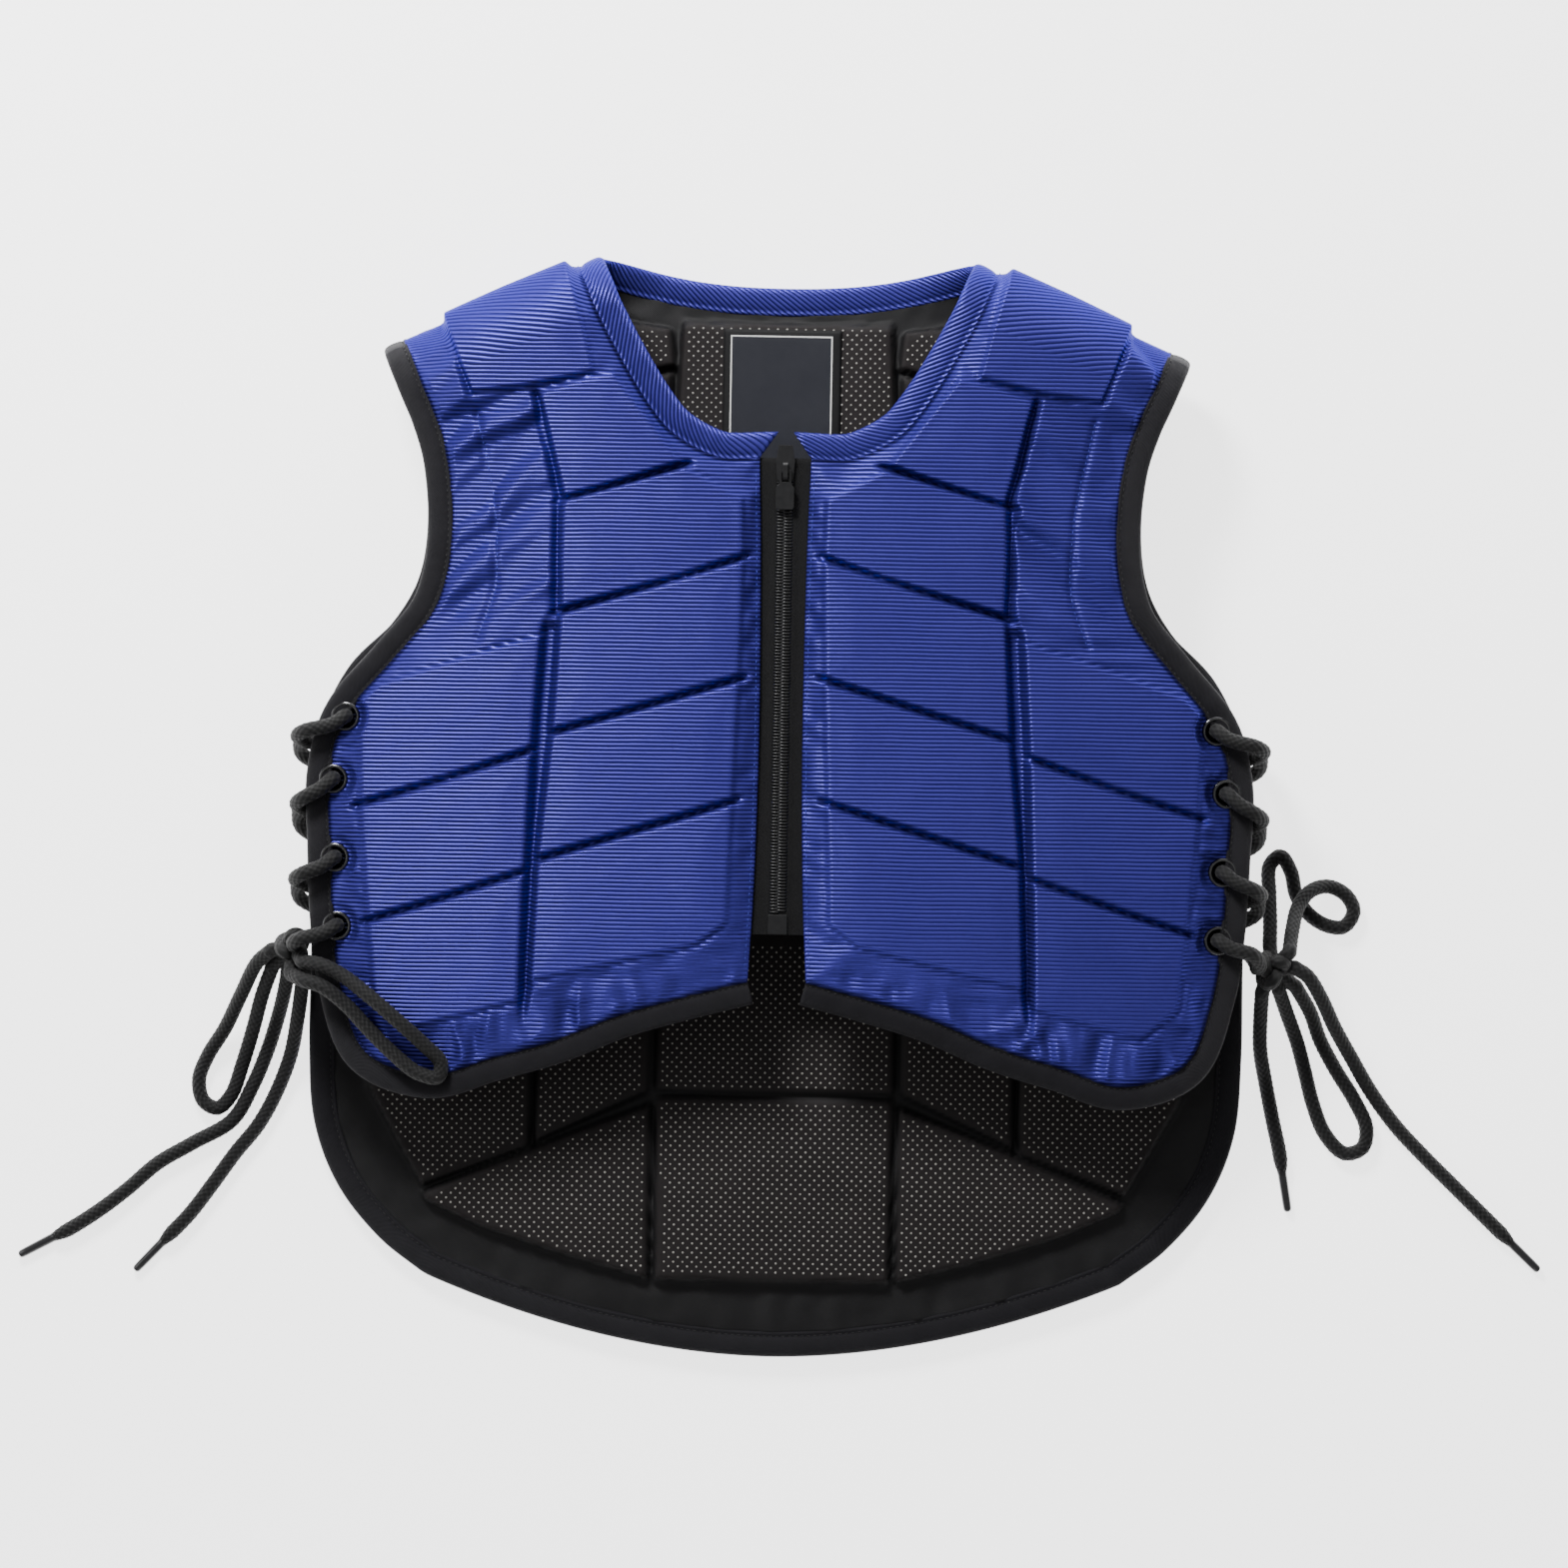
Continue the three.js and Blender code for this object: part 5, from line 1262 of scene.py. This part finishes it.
def repeat_tree():
    """Puts a copy of one piece on every point, turned by the point's two directions."""
    tree = bpy.data.node_groups.new("repeat_on_points", "GeometryNodeTree")
    link = tree.links.new
    sockets = {}
    for name, kind in (("Points", "Geometry"), ("Piece", "Object"), ("Size", "Vector"), ("Spread", "Float"),
                       ("Seed", "Int"), ("Material", "Material")):
        socket = tree.interface.new_socket(name, in_out="INPUT", socket_type=f"NodeSocket{kind}")
        sockets[name] = socket.identifier
    tree.interface.new_socket("Copies", in_out="OUTPUT", socket_type="NodeSocketGeometry")
    source = add_node(tree, "NodeGroupInput")
    result = add_node(tree, "NodeGroupOutput")
    piece = add_node(tree, "GeometryNodeObjectInfo")
    link(source.outputs["Piece"], piece.inputs["Object"])
    turns = []
    for name, axis, pivot in (("along", "X", "AUTO"), ("facing", "Z", "X")):
        direction = add_node(tree, "GeometryNodeInputNamedAttribute", data_type="FLOAT_VECTOR")
        direction.inputs["Name"].default_value = name
        turn = add_node(tree, "FunctionNodeAlignRotationToVector", axis=axis, pivot_axis=pivot)
        link(direction.outputs["Attribute"], turn.inputs["Vector"])
        if turns:
            link(turns[-1].outputs[0], turn.inputs["Rotation"])
        turns.append(turn)
    chance = add_node(tree, "FunctionNodeRandomValue", data_type="FLOAT")
    for operation, limit in (("SUBTRACT", chance.inputs[2]), ("ADD", chance.inputs[3])):
        link(math_node(tree, operation, 1, source.outputs["Spread"]), limit)
    link(source.outputs["Seed"], chance.inputs["Seed"])
    scale = add_node(tree, "ShaderNodeVectorMath", operation="SCALE")
    link(source.outputs["Size"], scale.inputs[0])
    link(chance.outputs[1], scale.inputs["Scale"])
    place = add_node(tree, "GeometryNodeInstanceOnPoints")
    real = add_node(tree, "GeometryNodeRealizeInstances")
    finish = add_node(tree, "GeometryNodeSetMaterial")
    link(source.outputs["Points"], place.inputs["Points"])
    link(piece.outputs["Geometry"], place.inputs["Instance"])
    link(turns[-1].outputs[0], place.inputs["Rotation"])
    link(scale.outputs[0], place.inputs["Scale"])
    link(place.outputs[0], real.inputs[0])
    link(real.outputs[0], finish.inputs["Geometry"])
    link(source.outputs["Material"], finish.inputs["Material"])
    link(finish.outputs[0], result.inputs[0])
    return tree, sockets


REPEAT, REPEAT_INPUTS = repeat_tree()


def repeated(name, piece, points, along, facing, material, size=(1, 1, 1), spread=0.0, seed=3):
    """Copies a piece to every point as one plain mesh."""
    mesh = bpy.data.meshes.new(name)
    mesh.from_pydata((np.asarray(points) * MM).tolist(), [], [])
    for key, values in (("along", along), ("facing", facing)):
        layer = mesh.attributes.new(key, "FLOAT_VECTOR", "POINT")
        full = np.broadcast_to(np.asarray(values, np.float32), np.shape(points))
        layer.data.foreach_set("vector", np.ascontiguousarray(full).ravel())
    made = bpy.data.objects.new(name, mesh)
    scene.collection.objects.link(made)
    maker = made.modifiers.new("copies", "NODES")
    maker.node_group = REPEAT
    for key, value in (("Piece", piece), ("Size", size), ("Spread", spread), ("Seed", seed),
                       ("Material", material)):
        maker[REPEAT_INPUTS[key]] = value
    bpy.context.view_layer.update()
    ready = made.evaluated_get(bpy.context.evaluated_depsgraph_get())
    plain = bpy.data.meshes.new_from_object(ready)
    made.modifiers.remove(maker)
    made.data = plain
    for key in ("along", "facing"):
        if key in plain.attributes:
            plain.attributes.remove(plain.attributes[key])
    return made


def zip_tape(side, name):
    """One tape, from under the coil to just inside the front's edge."""
    rows = front_zip_edge[front_zip_edge[:, 1] > ZIP_BOTTOM_Y]
    rows = rows[thin_out(rows, 3.0)]
    ys = np.concatenate([[ZIP_BOTTOM_Y], rows[:, 1]])
    edge = np.interp(ys, front_zip_edge[:, 1], front_zip_edge[:, 0])
    x = np.concatenate([np.tile(TAPE_X, (len(ys), 1)), edge[:, None] - 0.6, edge[:, None] + 0.6], 1)
    y = ys[:, None].repeat(x.shape[1], 1)
    point, normal = front_skin(x, y)
    dip = 0.55 * np.exp(-((x - 6.8) / 1.6) ** 2) + 0.1 * noise(y / 9, x / 4, 81 + side)
    top = point + normal * (0.75 - dip)[..., None]
    bottom = point - normal * (0.6 + dip)[..., None]
    uv = np.stack([x, y], -1)
    if side < 0:
        top, bottom = (np.flip(grid * (-1, 1, 1), 1) for grid in (top, bottom))
        uv = np.flip(uv, 1)
    tape = padded_wall(name, top, bottom, uv, 1, [TAPE, TAPE], {})
    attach(tape, "vest")
    return tape


def tooth():
    """Half a turn of coil: a round wire from the tape's side up and over to the middle."""
    bend = [(-3.55, 0, -0.1), (-3.35, 0, 0.6), (-2.6, 0, 1.0), (-1.4, 0, 1.12), (-0.3, 0, 1.02),
            (0.35, 0, 0.7), (0.55, 0, 0.1)]
    path = np.array(bend) * MM
    wire = np.full(len(path), 0.42 * MM)
    wire[-3:] = np.array([0.5, 0.56, 0.42]) * MM
    return tube("coil_turn", path, wire, 6, COIL)


def make_zip():
    for side, end in ((1, "right"), (-1, "left")):
        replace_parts(zip_tape(side, f"tape_{end}"), f"zip_tape_{end}")
    model = tooth()
    ys = np.arange(COIL_BOTTOM_Y + 0.8, SLIDER_BOTTOM_Y - 0.4, TOOTH_PITCH)
    points, along = [], []
    for side in (1, -1):
        at = ys + (0.5 * TOOTH_PITCH if side > 0 else 0)
        point, _ = front_skin(np.full(len(at), 0.4 * side), at)
        points.append(point * (0, 1, 1))
        along.append(np.tile((-side, 0, 0), (len(at), 1)))
    coil = repeated("coil_rows", model, np.concatenate(points), np.concatenate(along), (0, 0, 1), COIL)
    bpy.data.objects.remove(model)
    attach(coil, "vest")
    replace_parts(coil, "zip_coil")


def rounded_copy(node, name, width, material, body):
    """A CAD node's own shape with its edges rounded."""
    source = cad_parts[node]
    copy = bpy.data.objects.new(name, source.data.copy())
    scene.collection.objects.link(copy)
    shape = bmesh.new()
    shape.from_mesh(copy.data)
    bmesh.ops.remove_doubles(shape, verts=shape.verts, dist=1e-6)
    bmesh.ops.dissolve_limit(shape, angle_limit=0.02, verts=shape.verts, edges=shape.edges)
    sharp = [edge for edge in shape.edges if edge.calc_face_angle(0) > 0.35]
    bmesh.ops.bevel(shape, geom=sharp, offset=width, segments=2, profile=0.6, affect="EDGES",
                    clamp_overlap=True)
    bmesh.ops.recalc_face_normals(shape, faces=shape.faces)
    shape.to_mesh(copy.data)
    shape.free()
    copy.data.materials.clear()
    copy.data.materials.append(material)
    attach(copy, body)
    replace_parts(copy, node)


front_zip_edge = FRONT_PLAN[:FRONT_TOP_ROW + 1, 0]
make_zip()
rounded_copy("zip_pin_box", "pin_box", 0.35 * MM, ENAMEL, "vest")
rounded_copy("zip_slider", "slider", 0.3 * MM, ENAMEL, "vest")
rounded_copy("zip_pull", "pull_tab", 0.22 * MM, ENAMEL, "zip_pull")

# Eyelets
# Pressed black nickel rings, four down each edge of the fronts and the back, with domed flanges on
# both faces of the cloth.
EYELET_HALF = 2.2
EYELET_LIP = 5.1
EYELET_SIDES = 40
BACK_EYELET_INSET = 5.0


def black_nickel():
    material, tree, shader = new_material("black_nickel", {"Metallic": 1.0, "Roughness": 0.2})
    wear = noise_at(tree, object_place(tree), 500.0, 3.0)
    colour = mixed_colour(tree, wear, (0.07, 0.07, 0.075), (0.12, 0.12, 0.125))
    # Painted highlight: the inner lip of each black ring is coloured pale, near white.
    lip_painted_highlight = attribute(tree, "lip_painted_highlight")
    tree.links.new(mixed_colour(tree, lip_painted_highlight, colour, (0.8, 0.8, 0.78)), shader.inputs["Base Color"])
    add_bump(tree, shader, wear, 0.02 * MM)
    return material


NICKEL = black_nickel()


def eyelet_ring():
    """Section from the barrel over the domed flange and back, on both faces."""
    flange = np.array([
        (EYELET_HOLE, 1.2), (4.72, 1.75), (4.95, 2.12), (5.35, 2.25), (5.8, 2.12), (6.12, 1.82),
        (EYELET_OUTER, 1.5), (6.0, 1.25), (5.2, 1.2)])
    section = np.concatenate([flange, (flange * (1, -1))[::-1]])
    sides = EYELET_SIDES
    angle = np.linspace(0, 2 * math.pi, sides, endpoint=False)
    points = np.stack([np.cos(angle)[:, None] * section[:, 0], np.sin(angle)[:, None] * section[:, 0],
                       np.tile(section[:, 1], (sides, 1))], -1).reshape(-1, 3)
    wide = len(section)
    faces = []
    for a in range(sides):
        b = (a + 1) % sides
        for c in range(wide):
            d = (c + 1) % wide
            faces.append((a * wide + c, a * wide + d, b * wide + d, b * wide + c))
    ring = new_object("eyelet_ring", points * MM, faces, [NICKEL])
    outward_faces(ring)
    # Marks the inner lip, which the material paints with a pale painted highlight.
    mark_points(ring, "lip_painted_highlight", np.hypot(points[:, 0], points[:, 1]) < EYELET_LIP)
    return ring


def set_eyelets():
    ring = eyelet_ring()
    back_x = np.full(4, HALF_WIDTH - BACK_EYELET_INSET)
    for flap, (point, normal) in (("front", front_skin(eyelet_x, eyelet_y)),
                                  ("back", back_skin(back_x, eyelet_y))):
        for side, end in ((1, "right"), (-1, "left")):
            at, up = point * (side, 1, 1), normal * (side, 1, 1)
            rings = repeated(f"eyelets_{flap}_{end}", ring, at, (0, 1, 0), up, NICKEL)
            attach(rings, "vest")
            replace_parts(rings, *[f"eyelet_{flap}_{end}_{i}" for i in (1, 2, 3, 4)])
    bpy.data.objects.remove(ring)


set_eyelets()

# Side lacing
# One round black lace a side, crossed between the front and back eyelets from the armhole down. Its
# two ends run into the bow's knot.
RIM = HALF_WIDTH + 9.8
PASS_HEIGHT = EYELET_HALF + 2.6


def places_down(start, end, shares):
    return [start[1] + (end[1] - start[1]) * share for share in shares]


def over_front(start, end):
    """From a front eyelet's face over the vest's edge and up into a back eyelet."""
    y = places_down(start, end, (0, 0.13, 0.24, 0.33, 0.42, 0.54, 0.88, 1))
    sx, sz, ex, ez = start[0], start[2], end[0], end[2]
    return [(sx + 0.3, y[0], sz + PASS_HEIGHT - 0.6), (sx + 5, y[1], sz + PASS_HEIGHT + 1.3),
            (RIM + 1, y[2], sz + PASS_HEIGHT + 0.7), (RIM + 4.7, y[3], sz - 0.6), (RIM, y[4], sz - 8.6),
            (RIM - 7.5, y[5], sz - 13.2), (ex + 1.6, y[6], ez + 10), (ex, y[7], ez + 3), (ex, y[7], ez)]


def round_back(start, end):
    """From a back eyelet's outer face round the vest's edge and up into a front eyelet."""
    y = places_down(start, end, (0, 0.12, 0.24, 0.33, 0.46, 0.62, 0.85, 1))
    sx, sz, ex, ez = start[0], start[2], end[0], end[2]
    rim = float(back_flat(np.array(RIM), np.array(start[1])))
    return [(sx + 0.3, y[0], sz - PASS_HEIGHT + 0.8), (sx + 5.5, y[1], sz - PASS_HEIGHT - 1),
            (RIM + 1.4, y[2], rim - PASS_HEIGHT - 1.6), (RIM + 4.6, y[3], rim + 0.4),
            (RIM + 5, y[4], rim + 6.4), (RIM + 3.4, y[5], ez - 12.6), (ex + 3.4, y[6], ez - 8),
            (ex, y[7], ez - 3), (ex, y[7], ez)]


def lacing_route(knot):
    """One lace from the knot up through all the eyelets and down to the knot again."""
    front, _ = front_skin(eyelet_x, eyelet_y)
    back, _ = back_skin(np.full(4, HALF_WIDTH - BACK_EYELET_INSET), eyelet_y)
    rim = float(back_flat(np.array(RIM), np.array(back[3][1])))
    # Both ends stop just inside the knot's outline, taken as an ellipse
    end_x = min(knot[0], RIM + 4.8)
    aside = max(0, knot[0] - end_x - 2.07)
    end_z = 8.5 * math.sqrt(1 - (aside / 7.5) ** 2) - 1.2
    bx, by, bz = back[3]
    fx, fy, fz = front[3]
    to_back = [tuple(front[0]), *over_front(front[0], back[1]), *round_back(back[1], front[2]),
               *over_front(front[2], back[3]), (bx + 0.3, by, bz - PASS_HEIGHT + 0.8),
               (bx + 5.5, by - 3, bz - PASS_HEIGHT - 1), (RIM + 1.6, by - 6, rim - PASS_HEIGHT - 1.4),
               (end_x, knot[1] + 1.5, knot[2] - end_z - 4), (end_x, knot[1], knot[2] - end_z)]
    to_front = [tuple(back[0]), *round_back(back[0], front[1]), *over_front(front[1], back[2]),
                *round_back(back[2], front[3]), (fx + 0.3, fy, fz + PASS_HEIGHT - 0.6),
                (fx + 5, fy - 3, fz + PASS_HEIGHT + 1.3), (RIM + 1.2, fy - 5.5, fz + PASS_HEIGHT + 0.6),
                (end_x, knot[1] + 2, knot[2] + end_z + 3.6), (end_x, knot[1] + 0.5, knot[2] + end_z)]
    return np.array(to_back[::-1] + to_front, float)


def lace_sides():
    for end, side in (("right", 1), ("left", -1)):
        knot = np.array(KNOTS[end]) / MM * (side, 1, 1)
        path, _ = centripetal(lacing_route(knot) * (side, 1, 1) * MM, LACE_STEP)
        lace = lace_tube(f"lacing_{end}", path)
        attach(lace, "vest")
        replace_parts(lace, f"lace_{end}")


lace_sides()

# Stitching and perforations
# Black thread holds the bindings and blue thread the zip edges and the shoulder seam. The lining
# over the foam is punched with small pale dots in staggered rows.
STITCH_PITCH = 2.7
STITCH = (1.75, 0.42, 0.34)
BINDING_STITCH_OUT = 1.0
ZIP_STITCH_INSET = 1.7
ZIP_STITCH_Y = (-66, 140)
DOT_PITCH = (3.95, 3.94)
DOT_RADIUS = 0.52
DOT_X = (-180, 180)
DOT_Y = (-216, 215)
DOT_MARGIN = 1.9
# The lining is seen below the hem and in the neck opening
SEEN_BELOW = -58
SEEN_ABOVE = 118
SEEN_HALF_WIDTH = 90


def bead(name, material):
    """A small ball, one millimetre across, that stitches and dots are made of."""
    shape = bmesh.new()
    bmesh.ops.create_icosphere(shape, subdivisions=1, radius=0.5 * MM)
    mesh = bpy.data.meshes.new(name)
    shape.to_mesh(mesh)
    shape.free()
    mesh.materials.append(material)
    mesh.polygons.foreach_set("use_smooth", np.ones(len(mesh.polygons), bool))
    made = bpy.data.objects.new(name, mesh)
    scene.collection.objects.link(made)
    return made


def thread(name, low, high):
    return clouded(name, 1500.0, 2.0, low, high, 0.03 * MM, {"Roughness": 0.55})


BLACK_THREAD = thread("black_thread", (0.004, 0.004, 0.0045), (0.014, 0.014, 0.015))
BLUE_THREAD = thread("blue_thread", (0.02, 0.025, 0.24), (0.045, 0.055, 0.45))
DOT_FINISH = thread("dot_finish", (0.23, 0.22, 0.2), (0.42, 0.41, 0.38))


def sew(name, lines, material):
    """Stitches along lines, each given by its points and the cloth's normals."""
    points, along, facing = [], [], []
    for line, normal in lines:
        run = run_along(line)
        at = np.arange(0.5 * STITCH_PITCH, run[-1], STITCH_PITCH)
        points.append(np.stack([np.interp(at, run, line[:, k]) for k in range(3)], 1))
        facing.append(unit(np.stack([np.interp(at, run, normal[:, k]) for k in range(3)], 1)))
        tangent = unit(np.gradient(line, axis=0))
        along.append(unit(np.stack([np.interp(at, run, tangent[:, k]) for k in range(3)], 1)))
    model = bead("stitch", material)
    seam = repeated(name, model, np.concatenate(points), np.concatenate(along), np.concatenate(facing),
                    material, STITCH, 0.08, 7)
    bpy.data.objects.remove(model)
    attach(seam, "vest")


def sew_all():
    """Black seams along the bindings, blue ones along the zip and the shoulder seams."""
    lines = []
    for edge, out, up in ((front_side, front_side_out, front_side_up),
                          (back_side, back_side_out, -back_side_up)):
        line = edge + out * BINDING_STITCH_OUT + up * BINDING_HALF * 0.92
        lines.append((line, up))
        if edge is front_side:
            lines.append((mirrored(line), mirrored(up)))
    sew("binding_stitches", lines, BLACK_THREAD)
    blue = []
    y = np.linspace(*ZIP_STITCH_Y, 240)
    x = np.interp(y, front_zip_edge[:, 1], front_zip_edge[:, 0]) + ZIP_STITCH_INSET
    seam = catmull(shoulder_seam, np.linspace(0, 3, 60))
    for xs, ys in ((x, y), (seam[:, 0], seam[:, 1])):
        places = np.stack([xs, ys], 1)
        for side, seed in FRONT_SEEDS.items():
            rise = front_rise(places, rim_of(FRONT_PLAN)[::4], seed)
            point, normal = front_skin(xs, ys)
            line = point + normal * (rise + 0.1)[:, None]
            blue.append((line * (side, 1, 1), normal * (side, 1, 1)))
    sew("front_stitches", blue, BLUE_THREAD)


def punch_lining():
    """Dots on the lining's blocks, where they are seen and no label covers them."""
    rows = []
    for offset in (0, 0.5):
        x, y = np.meshgrid(np.arange(*DOT_X, DOT_PITCH[0]) + offset * DOT_PITCH[0],
                           np.arange(*DOT_Y, DOT_PITCH[1]) + offset * DOT_PITCH[1])
        rows.append(np.stack([x.ravel(), y.ravel()], 1))
    places = np.concatenate(rows)
    in_neck = (places[:, 1] > SEEN_ABOVE) & (np.abs(places[:, 0]) < SEEN_HALF_WIDTH)
    places = places[(places[:, 1] < SEEN_BELOW) | in_neck]
    depth = depth_in_blocks(places, BACK_OUTLINES)
    label = (places[:, 0] > LABEL_X[0]) & (places[:, 0] < LABEL_X[1]) & (places[:, 1] > LABEL_Y[0])
    keep = (depth > DOT_MARGIN) & ~(label & (places[:, 1] < LABEL_Y[1]))
    places, depth = places[keep], depth[keep]
    point, normal = back_skin(places[:, 0], places[:, 1])
    point = point - normal * (lining_rise(places, depth) + 0.02)[:, None]
    model = bead("dot", DOT_FINISH)
    size = 2 * DOT_RADIUS
    dots = repeated("lining_dots", model, point, (1, 0, 0), -normal, DOT_FINISH, (size, size, 0.22),
                    0.12, 9)
    bpy.data.objects.remove(model)
    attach(dots, "vest")


sew_all()
punch_lining()
